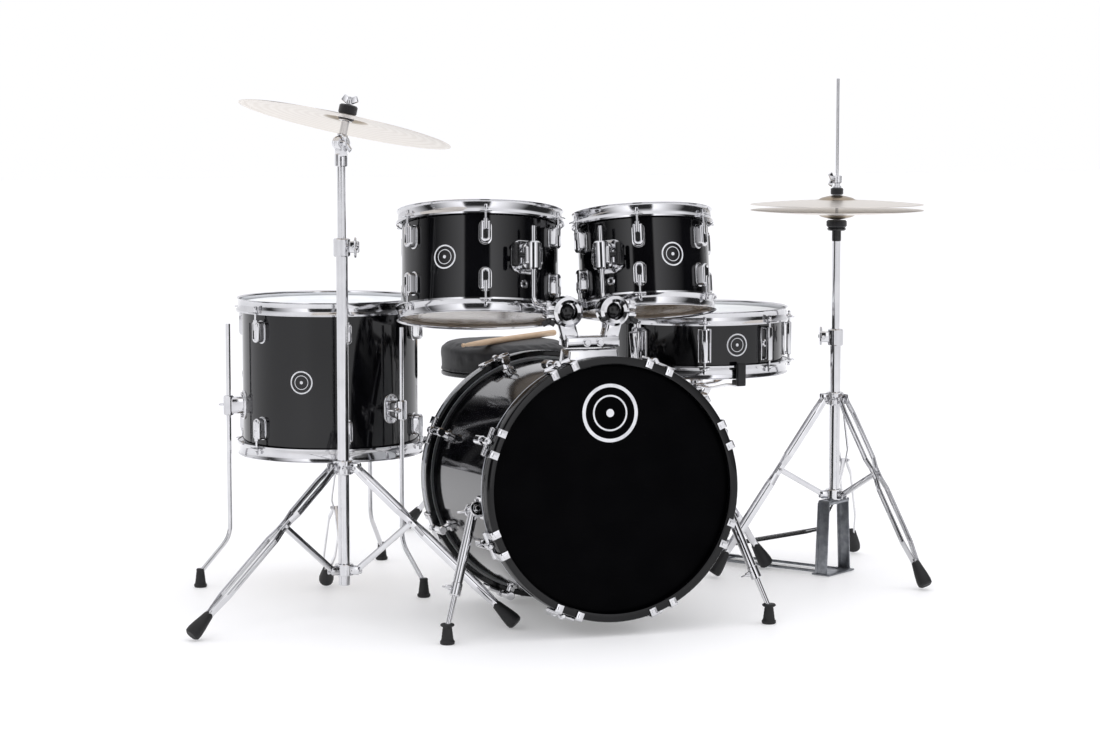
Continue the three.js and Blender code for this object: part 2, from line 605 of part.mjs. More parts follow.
function snareStandParts() {
  const at = snare.at;
  const s = snareStand;
  const base = join(tubeSolid(at, s.tube, s.lower - 24, s.top),
    openTripod(at, s.tube, { collar: s.collar, lower: s.lower, foot: s.foot }, evenly(3, s.turn)),
    tubeSolid(at, s.clamp, s.top - s.clampTall, s.top + 4));
  const bore = tubeSolid(at, s.bore, s.collar - 120, s.top + 20);
  const pivot = snare.low - s.knuckle;
  const hubLow = pivot + 14;
  const stem = cut(join(tubeSolid(at, s.stem, s.collar - 80, pivot - 16),
    block([26, 18, 34], [at[0], at[1], pivot - 8])),
  block([12 + 2 * gap, 40, 30], [at[0], at[1], pivot + 2]),
  rod(3 + gap, [at[0] - 30, at[1], pivot], [at[0] + 30, at[1], pivot], 8));
  const seatLow = snare.low - gap;
  const holdOut = hoopOuter(snare.radius) + gap;
  const arms = evenly(3, s.armTurn).map((turn) => [
    bar(at, turn, [0, hubLow + 8], [holdOut + 4, seatLow - 12], s.armWide, s.armThick),
    standoff(s.padWide, holdOut - 10, holdOut + s.padThick, seatLow - 16, seatLow, turn, at),
    standoff(s.padWide, holdOut, holdOut + s.padThick, seatLow - 16, seatLow + s.padTall, turn, at),
  ]);
  const hub = join(tubeSolid(at, s.hub, hubLow, hubLow + s.hubTall),
    block([12, 14, 26], [at[0], at[1], pivot + 3]),
    rod(3, [at[0] - 12, at[1], pivot], [at[0] + 12, at[1], pivot], 8));
  return [
    piece('snare_stand_base', cut(base, bore), chrome),
    piece('snare_stand_stem', stem, chrome),
    piece('snare_basket', join(hub, arms.flat()), chrome),
  ];
}

// ---- hi-hat stand -------------------------------------------------------------------

const boardHeading = (turn, distance, z, side = 0) => {
  const a = rad(turn);
  return [hihat.at[0] + distance * Math.cos(a) - side * Math.sin(a),
    hihat.at[1] + distance * Math.sin(a) + side * Math.cos(a), z];
};

function footBoard(frameOf, wide, thick, length, toeZ) {
  const heel = frameOf(length, hinge.z);
  const toe = frameOf(toeAt, toeZ);
  const across = vec(frameOf(length, 0, 1)).sub(vec(frameOf(length, 0, 0)));
  const frame = along(heel, vec(toe).sub(vec(heel)), across);
  const reach = vec(toe).distanceTo(vec(heel));
  const board = block([wide, thick, reach - 14], [0, 0, reach / 2 + 7], frame);
  const knuckle = rod(hinge.radius, frameOf(length, hinge.z, -wide / 2 + 12),
    frameOf(length, hinge.z, wide / 2 - 12), 10);
  const web = block([wide - 24, thick, 16], [0, 0, 9], frame);
  const pinHole = rod(hinge.pin + gap, frameOf(length, hinge.z, -wide), frameOf(length, hinge.z, wide), 8);
  return cut(join(board, web, knuckle), pinHole);
}

function heelPlate(frameOf, wide, length) {
  const low = vec(frameOf(length, 0));
  const frame = along(low.toArray(), Z, vec(frameOf(length, 0, 1)).sub(vec(frameOf(length, 0))));
  const plate = block([wide, 70, 5], [0, 0, 2.5 + gap], frame);
  const ears = [-1, 1].map((side) => block([8, 20, 34], [side * (wide / 2 - 4.5), 0, 17 + gap], frame));
  const pin = rod(hinge.pin, frameOf(length, hinge.z, -wide / 2 + 2),
    frameOf(length, hinge.z, wide / 2 - 2), 8);
  return join(plate, ears, pin);
}

function hihatFrame() {
  const at = hihat.at;
  const tube = tubeSolid(at, hihat.tube, hihat.frameTall, hihat.top);
  const tripod = openTripod(at, hihat.tube, hihat, hihat.turns);
  const yoke = (distance, z, side) => boardHeading(hihat.heading, distance, z, side);
  const facing = along([...at, 0], Z, vec(yoke(0, 0, 1)).sub(vec(yoke(0, 0, 0))));
  const cheeks = [-1, 1].map((side) => block([5, 30, hihat.frameTall],
    [side * hihat.frameWide / 2, 0, hihat.frameTall / 2 + 4], facing));
  const head = block([hihat.frameWide + 5, 30, 10], [0, 0, hihat.frameTall + 4], facing);
  const foot = block([hihat.frameWide + 5, 40, 5], [0, 0, 2.5 + gap], facing);
  const rods = [-1, 1].map((side) => rod(3, yoke(10, 5, side * (hihat.rodsApart / 2)),
    yoke(hihat.heelAt, 5, side * (hihat.rodsApart / 2)), 6));
  const heel = heelPlate(yoke, hihat.boardWide + 18, hihat.heelAt);
  const clamp = tubeSolid(at, hihat.tube + band.clamp, hihat.top - 32, hihat.top + 6);
  const body = join(tube, tripod, cheeks, head, foot, rods, heel, clamp);
  const upperBore = tubeSolid(at, hihat.upper + gap, hihat.upperLow - 120, hihat.top + 20);
  const rodBore = tubeSolid(at, hihat.rod + turning, hihat.frameTall - 20, hihat.top);
  return piece('hihat_stand', cut(body, upperBore, rodBore), steel);
}

function hihatTop() {
  const at = hihat.at;
  const seat = hihat.low - cymbalRise(hihat);
  const cupTop = seat - cymbalThick - gap;
  const upper = cut(join(tubeSolid(at, hihat.upper, hihat.upperLow, cupTop - 8),
    tubeSolid(at, 14, cupTop - 22, cupTop - 8), tubeSolid(at, 18, cupTop - 10, cupTop)),
  tubeSolid(at, hihat.rod + turning, hihat.upperLow - 5, cupTop + 5));
  const over = hihat.high + cymbalRise(hihat);
  const pull = join(tubeSolid(at, hihat.rod, hihat.toePull, hihat.rodTop, 8),
    tubeSolid(at, 13, over + cymbalThick + gap, over + 12), tubeSolid(at, 9, over + 10, over + 38),
    rod(3, [at[0], at[1], over + 26], boardHeading(200, 24, over + 26), 8),
    tubeSolid(at, 11, over - 12, over - cymbalThick));
  const move = (z) => new THREE.Matrix4().makeTranslation(...at, z);
  return [
    piece('hihat_upper_tube', upper, chrome),
    piece('hihat_pull_rod', pull, chrome),
    piece('hihat_bottom_cymbal', cymbalDisc(hihat, -1, move(hihat.low)), bronze),
    piece('hihat_top_cymbal', cymbalDisc(hihat, 1, move(hihat.high)), bronze),
  ];
}

function hihatStand() {
  const yoke = (distance, z, side = 0) => boardHeading(hihat.heading, distance, z, side);
  const board = footBoard(yoke, hihat.boardWide, hihat.boardThick, hihat.heelAt,
    hihat.toeHeight);
  return [hihatFrame(), ...hihatTop(), piece('hihat_footboard', board, rubber)];
}

// ---- throne -------------------------------------------------------------------------

function throneParts() {
  const at = throne.at;
  const seatLow = throne.top - throne.thick;
  const base = cut(join(tubeSolid(at, throne.tube, 70, throne.tubeTop),
    openTripod(at, throne.tube, throne, evenly(3, throne.turn)),
    tubeSolid(at, throne.tube + 6, throne.tubeTop - 36, throne.tubeTop + 6)),
  tubeSolid(at, throne.spindle + gap + turning, throne.lower + 20, throne.tubeTop + 20));
  const cushion = turned([[0, seatLow], [throne.seat - 8, seatLow], [throne.seat, seatLow + 12],
    [throne.seat, throne.top - 16], [throne.seat - 16, throne.top], [0, throne.top]],
  new THREE.Matrix4().makeTranslation(...at, 0));
  const seat = join(cushion, tubeSolid(at, throne.spindle, throne.lower + 60, seatLow + 2),
    tubeSolid(at, 40, seatLow - 16, seatLow + 2));
  return [piece('throne_base', base, chrome), piece('throne_seat', seat, vinyl)];
}

// ---- bass pedal, clamped behind the rear hoop ---------------------------------------

function bassPedal() {
  const postY = bass.length + pedal.behind;
  const axleZ = pedal.postTall;
  const half = pedal.postApart / 2;
  const yoke = (distance, z, side = 0) => [-side, postY + pedal.toeGap + distance, z];
  const hoopFoot = inKit([0, -bassHoopRadius, 0])[1] + 1;
  const plateEnd = postY + pedal.toeGap + pedal.length + 30;
  const plate = block([pedal.plateWide, plateEnd - hoopFoot, pedal.plateThick],
    [0, (plateEnd + hoopFoot) / 2, pedal.plateThick / 2 + gap]);
  const grip = bass.radius - 3;
  const clampTall = bassHoopRadius - 2 - grip + 10;
  const clamp = [
    block([pedal.grip, 10, 22], [0, 5 - grip, 1], bassPlace),
    block([pedal.grip, clampTall, 10], [0, 10 - grip - clampTall / 2, -5 - gap], bassPlace),
  ];
  const posts = [-1, 1].map((side) => block([pedal.post, 26, axleZ + 12],
    [side * half, postY, (axleZ + 12) / 2 + gap]));
  const foot = block([pedal.postApart + pedal.post, 40, 8], [0, postY, 4 + gap]);
  const hole = rod(pedal.axle + turning, [-half - 20, postY, axleZ], [half + 20, postY, axleZ]);
  const ears = [-1, 1].map((side) => block([7, 20, 34],
    [side * (pedal.boardWide / 2 + 5), postY + pedal.toeGap + pedal.length, 17 + gap]));
  const pin = rod(hinge.pin, yoke(pedal.length, hinge.z, -pedal.boardWide / 2 - 5),
    yoke(pedal.length, hinge.z, pedal.boardWide / 2 + 5), 8);
  const frame = join(cut(join(plate, posts, foot, clamp), hole), ears, pin);
  const board = footBoard(yoke, pedal.boardWide, pedal.boardThick, pedal.length,
    pedal.toeHeight);
  const lean = rad(pedal.lean);
  const tip = [0, postY + pedal.beater * Math.sin(lean), axleZ + pedal.beater * Math.cos(lean)];
  const across = new THREE.Vector3(0, -Math.cos(lean), Math.sin(lean));
  const headEnd = (k) => vec(tip).addScaledVector(across, k * pedal.headLong / 2).toArray();
  const beater = join(rod(pedal.axle, [-half - 8, postY, axleZ], [half + 8, postY, axleZ]),
    block([20, 30, 30], [0, postY, axleZ]), rod(4, [0, postY, axleZ], tip, 8),
    rod(pedal.headRadius, headEnd(-1), headEnd(1)));
  return [
    piece('pedal_frame', frame, steel),
    piece('pedal_footboard', board, steel),
    piece('pedal_beater', beater, chrome),
  ];
}

// ---- the kit ------------------------------------------------------------------------

const snareDrum = group(drum(snare, [coated, smoked]));
snareDrum.position.set(...snare.at, snare.low);

const kit = group(
  bassDrum(), spurLeg(-1, 'left'), spurLeg(1, 'right'), tomHolder(),
  mountedTom(tom12), mountedTom(tom10), floorTomDrum().flat(),
  snareDrum, snareStandParts(), crashStand(), hihatStand(), throneParts(), bassPedal(),
);

kit.updateMatrixWorld(true);
const reach = new THREE.Box3().setFromObject(kit, true);
const middle = reach.getCenter(new THREE.Vector3());
kit.position.set(-middle.x, -middle.y, -reach.min.z);

export default kit;
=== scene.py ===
"""A black five-piece drum kit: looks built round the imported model, in metres, +Z up.

Shapes are made in millimetres, each in the frame of its own drum or stand, and piece() scales
them and sets them down on the body that carries them.
"""

import json
from math import atan2, cos, degrees, hypot, pi, radians, sin, sqrt, tau

import bmesh
import bpy
from mathutils import Matrix, Vector

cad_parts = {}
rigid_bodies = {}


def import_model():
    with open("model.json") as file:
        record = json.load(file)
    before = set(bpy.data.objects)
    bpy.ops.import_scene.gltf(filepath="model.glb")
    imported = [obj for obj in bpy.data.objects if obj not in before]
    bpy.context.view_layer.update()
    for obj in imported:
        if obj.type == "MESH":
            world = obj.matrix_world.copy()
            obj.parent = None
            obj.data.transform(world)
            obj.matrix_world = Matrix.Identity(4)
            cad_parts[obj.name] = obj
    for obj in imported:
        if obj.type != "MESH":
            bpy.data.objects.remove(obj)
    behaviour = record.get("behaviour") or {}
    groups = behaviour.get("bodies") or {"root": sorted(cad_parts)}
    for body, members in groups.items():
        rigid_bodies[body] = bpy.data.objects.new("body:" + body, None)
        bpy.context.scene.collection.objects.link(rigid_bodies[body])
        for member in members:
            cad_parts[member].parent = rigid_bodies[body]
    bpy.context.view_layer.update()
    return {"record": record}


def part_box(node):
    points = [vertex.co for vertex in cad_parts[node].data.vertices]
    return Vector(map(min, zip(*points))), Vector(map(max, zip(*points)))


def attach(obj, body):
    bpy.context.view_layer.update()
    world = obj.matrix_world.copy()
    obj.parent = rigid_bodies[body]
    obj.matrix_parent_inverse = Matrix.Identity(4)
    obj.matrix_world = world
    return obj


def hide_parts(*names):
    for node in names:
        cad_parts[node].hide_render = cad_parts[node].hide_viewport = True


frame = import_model()
record = frame["record"]
scene = bpy.context.scene

MM = 0.001
X, Y, Z = Vector((1, 0, 0)), Vector((0, 1, 0)), Vector((0, 0, 1))
BODY = {node: body for body, nodes in record["behaviour"]["bodies"].items() for node in nodes}
JOINT = {joint["name"]: joint for joint in record["behaviour"]["joints"]}


def low(node):
    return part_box(node)[0] / MM


def high(node):
    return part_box(node)[1] / MM


def middle(node):
    return (low(node) + high(node)) / 2


def pivot(joint):
    return Vector(JOINT[joint]["pos_m"]) / MM


def axis(joint):
    return Vector(JOINT[joint]["axis"]).normalized()


HOOP_FACE = 16.4  # how far the leaning front hoop reaches ahead of that corner
KIT = Vector((middle("bass_front_hoop").x, low("bass_front_hoop").y + HOOP_FACE, 0))


def kit(x, y, z=0.0):
    return KIT + Vector((x, y, z))


# ---- places -----------------------------------------------------------------------------


def along(start, direction, side=X):
    """A frame at start with its Z along direction and its X held near side."""
    z = direction.normalized()
    y = z.cross(side).normalized()
    x = y.cross(z)
    return Matrix.Translation(start) @ Matrix((x, y, z)).transposed().to_4x4()


def moved(x=0.0, y=0.0, z=0.0):
    return Matrix.Translation((x, y, z))


def turned(degree, letter="Z"):
    return Matrix.Rotation(radians(degree), 4, letter)


def out_at(place, degree, radius, z=0.0):
    """A frame on a drum or a stand whose X points straight out, at one turn and height."""
    return place @ turned(degree) @ moved(radius, 0, z)


def upright(centre):
    """An upright frame on the floor below a point."""
    return Matrix.Translation((centre[0], centre[1], 0))


def polar(centre, degree, radius, z):
    a = radians(degree)
    return Vector((centre[0] + radius * cos(a), centre[1] + radius * sin(a), z))


def evenly(count, start=0.0):
    return [start + i * 360 / count for i in range(count)]


# ---- shapes, in millimetres ---------------------------------------------------------------


def spun(profile, sides=48, place=Matrix()):
    """A turned shape about Z from points of radius and height."""
    part = bmesh.new()
    line = [part.verts.new((r, 0, z)) for r, z in profile]
    edges = [part.edges.new(pair) for pair in zip(line, line[1:])]
    bmesh.ops.spin(part, geom=line + edges, axis=Z, cent=(0, 0, 0), angle=tau, steps=sides,
                   use_merge=True)
    bmesh.ops.remove_doubles(part, verts=part.verts, dist=1e-3)
    bmesh.ops.dissolve_degenerate(part, edges=part.edges, dist=1e-3)
    bmesh.ops.recalc_face_normals(part, faces=part.faces)
    part.transform(place)
    return part


def ring(inner, outer, base, top, sides=48, place=Matrix(), edge=0.6):
    loop = [(inner, base + edge), (inner + edge, base), (outer - edge, base), (outer, base + edge),
            (outer, top - edge), (outer - edge, top), (inner + edge, top), (inner, top - edge),
            (inner, base + edge)]
    return spun(loop, sides, place)


def rod(radius, start, end, sides=20, edge=0.7, side=X):
    """A round bar with eased ends between two points."""
    start, end = Vector(start), Vector(end)
    length = (end - start).length
    if abs((end - start).normalized().dot(side)) > 0.9:
        side = Y
    line = [(0, 0), (radius - edge, 0), (radius, edge), (radius, length - edge),
            (radius - edge, length), (0, length)]
    return spun(line, sides, along(start, end - start, side))


def ball(radius, centre, sides=24):
    part = bmesh.new()
    bmesh.ops.create_uvsphere(part, u_segments=sides, v_segments=sides // 2, radius=radius)
    part.transform(Matrix.Translation(centre))
    return part


def block(x, y, z, centre=(0, 0, 0)):
    part = bmesh.new()
    bmesh.ops.create_cube(part, size=1)
    bmesh.ops.scale(part, vec=(x, y, z), verts=part.verts)
    bmesh.ops.translate(part, vec=centre, verts=part.verts)
    return part


def ease(part, geometry, offset, segments, affect="EDGES"):
    """Rounds edges, or the corners of a flat section."""
    bmesh.ops.bevel(part, geom=geometry, offset=offset, segments=segments, profile=0.5,
                    affect=affect, material=-1)


def outer_face(part):
    """The face furthest out along X."""
    return max(part.faces, key=lambda face: face.calc_center_median().x)


def outward_edges(part, least):
    """The edges that run along X for more than the least length."""
    return [e for e in part.edges if abs((e.verts[0].co - e.verts[1].co).x) > least]


def slab(x, y, z, edge=1.0, place=Matrix(), segments=2):
    """A block with eased edges, centred on its place."""
    part = block(x, y, z)
    ease(part, part.edges, edge, segments)
    part.transform(place)
    return part


def pad(x, y, z, corner, edge=1.0, place=Matrix()):
    """A plate standing along X with round corners in its YZ outline and an eased face."""
    part = block(x, y, z, (x / 2, 0, 0))
    ease(part, outward_edges(part, x / 2), corner, 6)
    ease(part, outer_face(part).edges[:], edge, 3)
    part.transform(place)
    return part


def section(wide, tall, edge):
    """A flat rectangle with eased corners, ready to be swept."""
    part = bmesh.new()
    bmesh.ops.create_circle(part, cap_ends=True, segments=4, radius=sqrt(0.5))
    part.transform(Matrix.Diagonal((wide, tall, 1, 1)) @ turned(45))
    ease(part, part.verts[:], edge, 2, "VERTICES")
    return part


def disc(radius, sides=16):
    part = bmesh.new()
    bmesh.ops.create_circle(part, cap_ends=True, segments=sides, radius=radius)
    return part


def swept(part, points, side=X):
    """A flat section pulled along a line of points."""
    points = [Vector(p) for p in points]
    count = len(points)
    before = Matrix()
    for i, point in enumerate(points):
        heading = (points[min(i + 1, count - 1)] - points[max(i - 1, 0)]).normalized()
        after = along(point, heading, side)
        if i == 0:
            part.transform(after)
            cap = next(iter(part.faces))
        else:
            grown = bmesh.ops.extrude_face_region(part, geom=[cap])["geom"]
            cap = next(g for g in grown if isinstance(g, bmesh.types.BMFace))
            bmesh.ops.transform(part, matrix=after @ before.inverted(), verts=cap.verts[:])
        before = after
    bmesh.ops.recalc_face_normals(part, faces=part.faces)
    return part


def eased(points, reach, steps=5):
    """The same line with each inner corner rounded."""
    points = [Vector(p) for p in points]
    line = [points[0]]
    for a, b, c in zip(points, points[1:], points[2:]):
        cut = min(reach, (b - a).length * 0.45, (c - b).length * 0.45)
        start = b + (a - b).normalized() * cut
        end = b + (c - b).normalized() * cut
        for i in range(steps + 1):
            t = i / steps
            line.append(start * (1 - t) ** 2 + b * 2 * t * (1 - t) + end * t ** 2)
    line.append(points[-1])
    return line


def pipe(radius, points, reach=20, sides=16, side=X):
    return swept(disc(radius, sides), eased(points, reach), side)


def bolt(radius, tall, place=Matrix(), flats=6):
    """A flat-sided bolt head on its washer, standing along Z."""
    part = bmesh.new()
    bmesh.ops.create_cone(part, cap_ends=True, segments=flats, radius1=radius,
                          radius2=radius, depth=tall)
    ease(part, part.edges, radius * 0.09, 1)
    bmesh.ops.translate(part, vec=(0, 0, tall / 2 + 1), verts=part.verts)
    put(ring(0.5, radius * 1.35, 0, 1.3, 20, edge=0.3), part)
    part.transform(place)
    return part


def wing(place=Matrix(), size=1.0):
    """A wing nut or wing screw standing along Z."""
    part = spun([(0, 0), (6, 0), (6.5, 2), (5, 9), (3, 11), (0, 11)], 20)
    for turn in (0, 180):
        blade = slab(14, 4, 13, 1.8, turned(turn) @ moved(9, 0, 10) @ turned(-28, "Y"), 3)
        put(blade, part)
    part.transform(place @ Matrix.Scale(size, 4))
    return part


def put(part, target, place=Matrix()):
    """Adds one shape to another."""
    part.transform(place)
    mesh = bpy.data.meshes.new("shape")
    part.to_mesh(mesh)
    part.free()
    target.from_mesh(mesh)
    bpy.data.meshes.remove(mesh)


def set_at(place, part):
    part.transform(place)
    return part


def gather(parts, place=Matrix()):
    whole = bmesh.new()
    for part in parts:
        put(part, whole)
    whole.transform(place)
    return whole


SHARP = radians(32)  # edges that turn more than this stay crisp


def piece(name, parts, finish, body, stands_for=(), place=Matrix(), slot=None):
    """A finished piece from shapes in millimetres: placed, shaded, and riding on its body.

    It works out its finish's own slot in the record, or the one named here, but does nothing with
    it.
    """
    whole = gather(parts if isinstance(parts, list) else [parts], place)
    whole.transform(Matrix.Scale(MM, 4))
    for face in whole.faces:
        face.smooth = True
    for edge in whole.edges:
        edge.smooth = len(edge.link_faces) == 2 and edge.calc_face_angle(0) < SHARP
    mesh = bpy.data.meshes.new(name)
    whole.to_mesh(mesh)
    whole.free()
    mesh.materials.append(finish)
    made = bpy.data.objects.new(name, mesh)
    scene.collection.objects.link(made)
    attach(made, body)
    slot = slot or SLOTS.get(finish.name)
    if stands_for:
        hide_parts(*stands_for)
    return made


# ---- finishes -----------------------------------------------------------------------------


def linear(code):
    """A hex sRGB colour as linear red, green, blue and alpha."""
    parts = [int(code[i:i + 2], 16) / 255 for i in (1, 3, 5)]
    return [c / 12.92 if c <= 0.04045 else ((c + 0.055) / 1.055) ** 2.4 for c in parts] + [1]


def node(tree, kind, inputs=None, **settings):
    """Adds a node, sets its properties, and fills or links its inputs."""
    made = tree.nodes.new(kind)
    for key, value in settings.items():
        setattr(made, key, value)
    for key, value in (inputs or {}).items():
        if isinstance(value, bpy.types.NodeSocket):
            tree.links.new(value, made.inputs[key])
        else:
            made.inputs[key].default_value = value
    return made


def finish(name, colour, rough, **shader):
    """A new material with its shader set, and the coordinates that its patterns read."""
    material = bpy.data.materials.new(name)
    material.use_nodes = True
    tree = material.node_tree
    surface = tree.nodes["Principled BSDF"]
    surface.inputs["Base Color"].default_value = linear(colour)
    surface.inputs["Roughness"].default_value = rough
    for key, value in shader.items():
        surface.inputs[key.replace("_", " ")].default_value = value
    where = node(tree, "ShaderNodeTexCoord").outputs["Object"]
    return material, tree, surface, where


def per(size):
    """Noise scale for features of this many millimetres."""
    return 1 / (size * MM)


def ramp(tree, factor, first, second, start=0.35, end=0.65):
    made = node(tree, "ShaderNodeValToRGB", {"Fac": factor})
    for stop, place, value in zip(made.color_ramp.elements, (start, end), (first, second)):
        stop.position = place
        stop.color = value
    return made.outputs["Color"]


def tints(tree, surface, factor, first, second, start=0.35, end=0.65):
    """Colour that drifts between two tones of the same finish."""
    colour = ramp(tree, factor, linear(first), linear(second), start, end)
    tree.links.new(colour, surface.inputs["Base Color"])


def sheen_range(tree, surface, factor, least, most):
    """Roughness that drifts between two values over the surface."""
    span = node(tree, "ShaderNodeMapRange", {"Value": factor, "To Min": least, "To Max": most})
    tree.links.new(span.outputs["Result"], surface.inputs["Roughness"])


def relief(tree, surface, height, depth, strength):
    """Bump whose full height is this many millimetres."""
    made = node(tree, "ShaderNodeBump", {"Height": height, "Distance": depth * MM,
                                         "Strength": strength})
    tree.links.new(made.outputs["Normal"], surface.inputs["Normal"])


def noise(tree, where, size, detail=3.0, stretch=None):
    if stretch:
        where = node(tree, "ShaderNodeMapping", {"Vector": where, "Scale": stretch}).outputs[0]
    return node(tree, "ShaderNodeTexNoise", {"Vector": where, "Scale": per(size),
                                             "Detail": detail}).outputs["Fac"]


def wrap_finish():
    """Gloss PVC wrap: deep black, with the faint ripple that a glued sheet keeps."""
    material, tree, surface, where = finish("gloss_pvc_wrap", "#08080a", 0.06, Coat_Weight=0.1,
                                            Coat_Roughness=0.03, Specular_IOR_Level=0.42)
    tints(tree, surface, noise(tree, where, 90), "#050507", "#0a0a0d")
    sheen_range(tree, surface, noise(tree, where, 60), 0.05, 0.1)
    relief(tree, surface, noise(tree, where, 28, 1.0), 0.05, 0.1)
    return material


def lacquer_finish():
    """Polyester lacquer on maple hoops: gloss black over a barely felt grain."""
    material, tree, surface, where = finish("polyester_lacquer_hoop", "#060607", 0.14,
                                            Coat_Weight=0.35, Coat_Roughness=0.04,
                                            Specular_IOR_Level=0.15)
    tints(tree, surface, noise(tree, where, 70), "#040405", "#09090b")
    sheen_range(tree, surface, noise(tree, where, 25), 0.1, 0.2)
    relief(tree, surface, noise(tree, where, 8, 2.0), 0.03, 0.15)
    return material


def chrome_finish(name, colour, least, most, grain):
    """Bright chrome plate: mirror-like, with polishing haze that varies over the casting."""
    material, tree, surface, where = finish(name, colour, least, Metallic=1.0)
    tints(tree, surface, noise(tree, where, 45), colour, "#cacacd", 0.3, 0.8)
    sheen_range(tree, surface, noise(tree, where, grain, 5.0), least, most)
    relief(tree, surface, noise(tree, where, 12, 1.0), 0.04, 0.06)
    return material


def film_finish(name, colour, second, rough, grit, depth):
    """Drum head film: sprayed grit on a coated skin, a fine matt tooth on a plain one."""
    material, tree, surface, where = finish(name, colour, rough)
    tints(tree, surface, noise(tree, where, 60), colour, second)
    sheen_range(tree, surface, noise(tree, where, 30), rough - 0.05, rough + 0.08)
    relief(tree, surface, noise(tree, where, grit, 4.0), depth, 0.35)
    return material


def clear_film_finish():
    """Clear polyester film: a glossy skin that lets the brown inside of the shell through."""
    material, tree, surface, where = finish("clear_polyester_film", "#ab9985", 0.12, Alpha=0.78)
    tints(tree, surface, noise(tree, where, 80), "#a1907c", "#b8a793")
    sheen_range(tree, surface, noise(tree, where, 40), 0.08, 0.18)
    relief(tree, surface, noise(tree, where, 50, 1.0), 0.08, 0.1)
    return material


def wood_finish(name, first, second, stretch, rough):
    """Bare wood with long fibres, a little open along the grain."""
    material, tree, surface, where = finish(name, first, rough)
    grain = noise(tree, where, 9, 6.0, stretch)
    tints(tree, surface, grain, first, second, 0.3, 0.7)
    sheen_range(tree, surface, grain, rough - 0.1, rough + 0.1)
    relief(tree, surface, grain, 0.12, 0.3)
    return material


GROOVE, BAND = 2.6, 19  # spacing of a cymbal's lathe grooves and of its broad tone bands
BELL_SHADE_EDGE = (40, 46)  # radii between which the bell's painted shade, a darker brown, turns to the bright bow
WAVE_REPEAT = tau / 20  # a wave texture at this scale repeats once in each unit


def bronze_finish(name, place):
    """Lathed sheet bronze: fine grooves round the cymbal, and a bell painted darker brown as the
    shade in its hollow.
    """
    material, tree, surface, where = finish(name, "#cdc3ae", 0.3, Metallic=1.0)
    spot = place.to_translation() * MM
    centred = node(tree, "ShaderNodeMapping", {"Vector": where, "Location": spot,
                                               "Rotation": place.to_euler()},
                   vector_type="TEXTURE").outputs[0]
    groove = node(tree, "ShaderNodeTexWave",
                  {"Vector": centred, "Scale": WAVE_REPEAT * per(GROOVE), "Distortion": 0.6,
                   "Detail": 2.0, "Detail Scale": 0.4},
                  wave_type="RINGS", rings_direction="Z").outputs["Fac"]
    band = node(tree, "ShaderNodeTexWave",
                {"Vector": centred, "Scale": WAVE_REPEAT * per(BAND), "Distortion": 1.2},
                wave_type="RINGS", rings_direction="Z").outputs["Fac"]
    lathed = ramp(tree, band, linear("#e2dbd2"), linear("#ebe5dd"), 0.1, 0.9)
    out = node(tree, "ShaderNodeVectorMath", {0: centred}, operation="LENGTH").outputs["Value"]
    past_bell_shade = node(tree, "ShaderNodeMapRange", {"Value": out, "From Min": BELL_SHADE_EDGE[0] * MM,
                                             "From Max": BELL_SHADE_EDGE[1] * MM}).outputs["Result"]
    # painted shade: within the bell's radii the colour turns darker brown for the shade in the
    # bell's hollow
    colour = node(tree, "ShaderNodeMix", {"Factor": past_bell_shade}, data_type="RGBA")
    colour.inputs["A"].default_value = linear("#a39480")
    tree.links.new(lathed, colour.inputs["B"])
    tree.links.new(colour.outputs["Result"], surface.inputs["Base Color"])
    sheen_range(tree, surface, groove, 0.3, 0.38)
    relief(tree, surface, groove, 0.03, 0.2)
    return material


def grey_steel_finish():
    """Zinc-plated steel: a dull, slightly mottled grey."""
    material, tree, surface, where = finish("zinc_plated_steel", "#8f9297", 0.38, Metallic=1.0)
    tints(tree, surface, noise(tree, where, 14, 5.0), "#85888d", "#a0a3a8")
    sheen_range(tree, surface, noise(tree, where, 9, 5.0), 0.3, 0.5)
    relief(tree, surface, noise(tree, where, 3, 3.0), 0.03, 0.2)
    return material


def moulded_finish(name, colour, second, rough, grit, depth):
    """Moulded rubber or nylon: dark, with a fine spark-eroded texture."""
    material, tree, surface, where = finish(name, colour, rough)
    tints(tree, surface, noise(tree, where, 20), colour, second)
    sheen_range(tree, surface, noise(tree, where, 10), rough - 0.08, rough + 0.08)
    relief(tree, surface, noise(tree, where, grit, 4.0), depth, 0.4)
    return material


def vinyl_finish():
    """Upholstery vinyl: black, with a pebbled leather grain about two millimetres across."""
    material, tree, surface, where = finish("upholstery_vinyl", "#0f0f11", 0.42)
    pebble = node(tree, "ShaderNodeTexVoronoi", {"Vector": where, "Scale": per(2.2)},
                  feature="DISTANCE_TO_EDGE").outputs["Distance"]
    tints(tree, surface, noise(tree, where, 40), "#0c0c0e", "#151518")
    sheen_range(tree, surface, pebble, 0.55, 0.36)
    relief(tree, surface, pebble, 0.35, 0.45)
    return material


def felt_finish(name, colour, second):
    """Pressed wool felt: matt, with loose fibres a millimetre or so long."""
    material, tree, surface, where = finish(name, colour, 0.95, Sheen_Weight=0.4)
    fibre = noise(tree, where, 1.4, 6.0)
    tints(tree, surface, fibre, colour, second)
    sheen_range(tree, surface, fibre, 0.88, 1.0)
    relief(tree, surface, fibre, 0.5, 0.8)
    return material


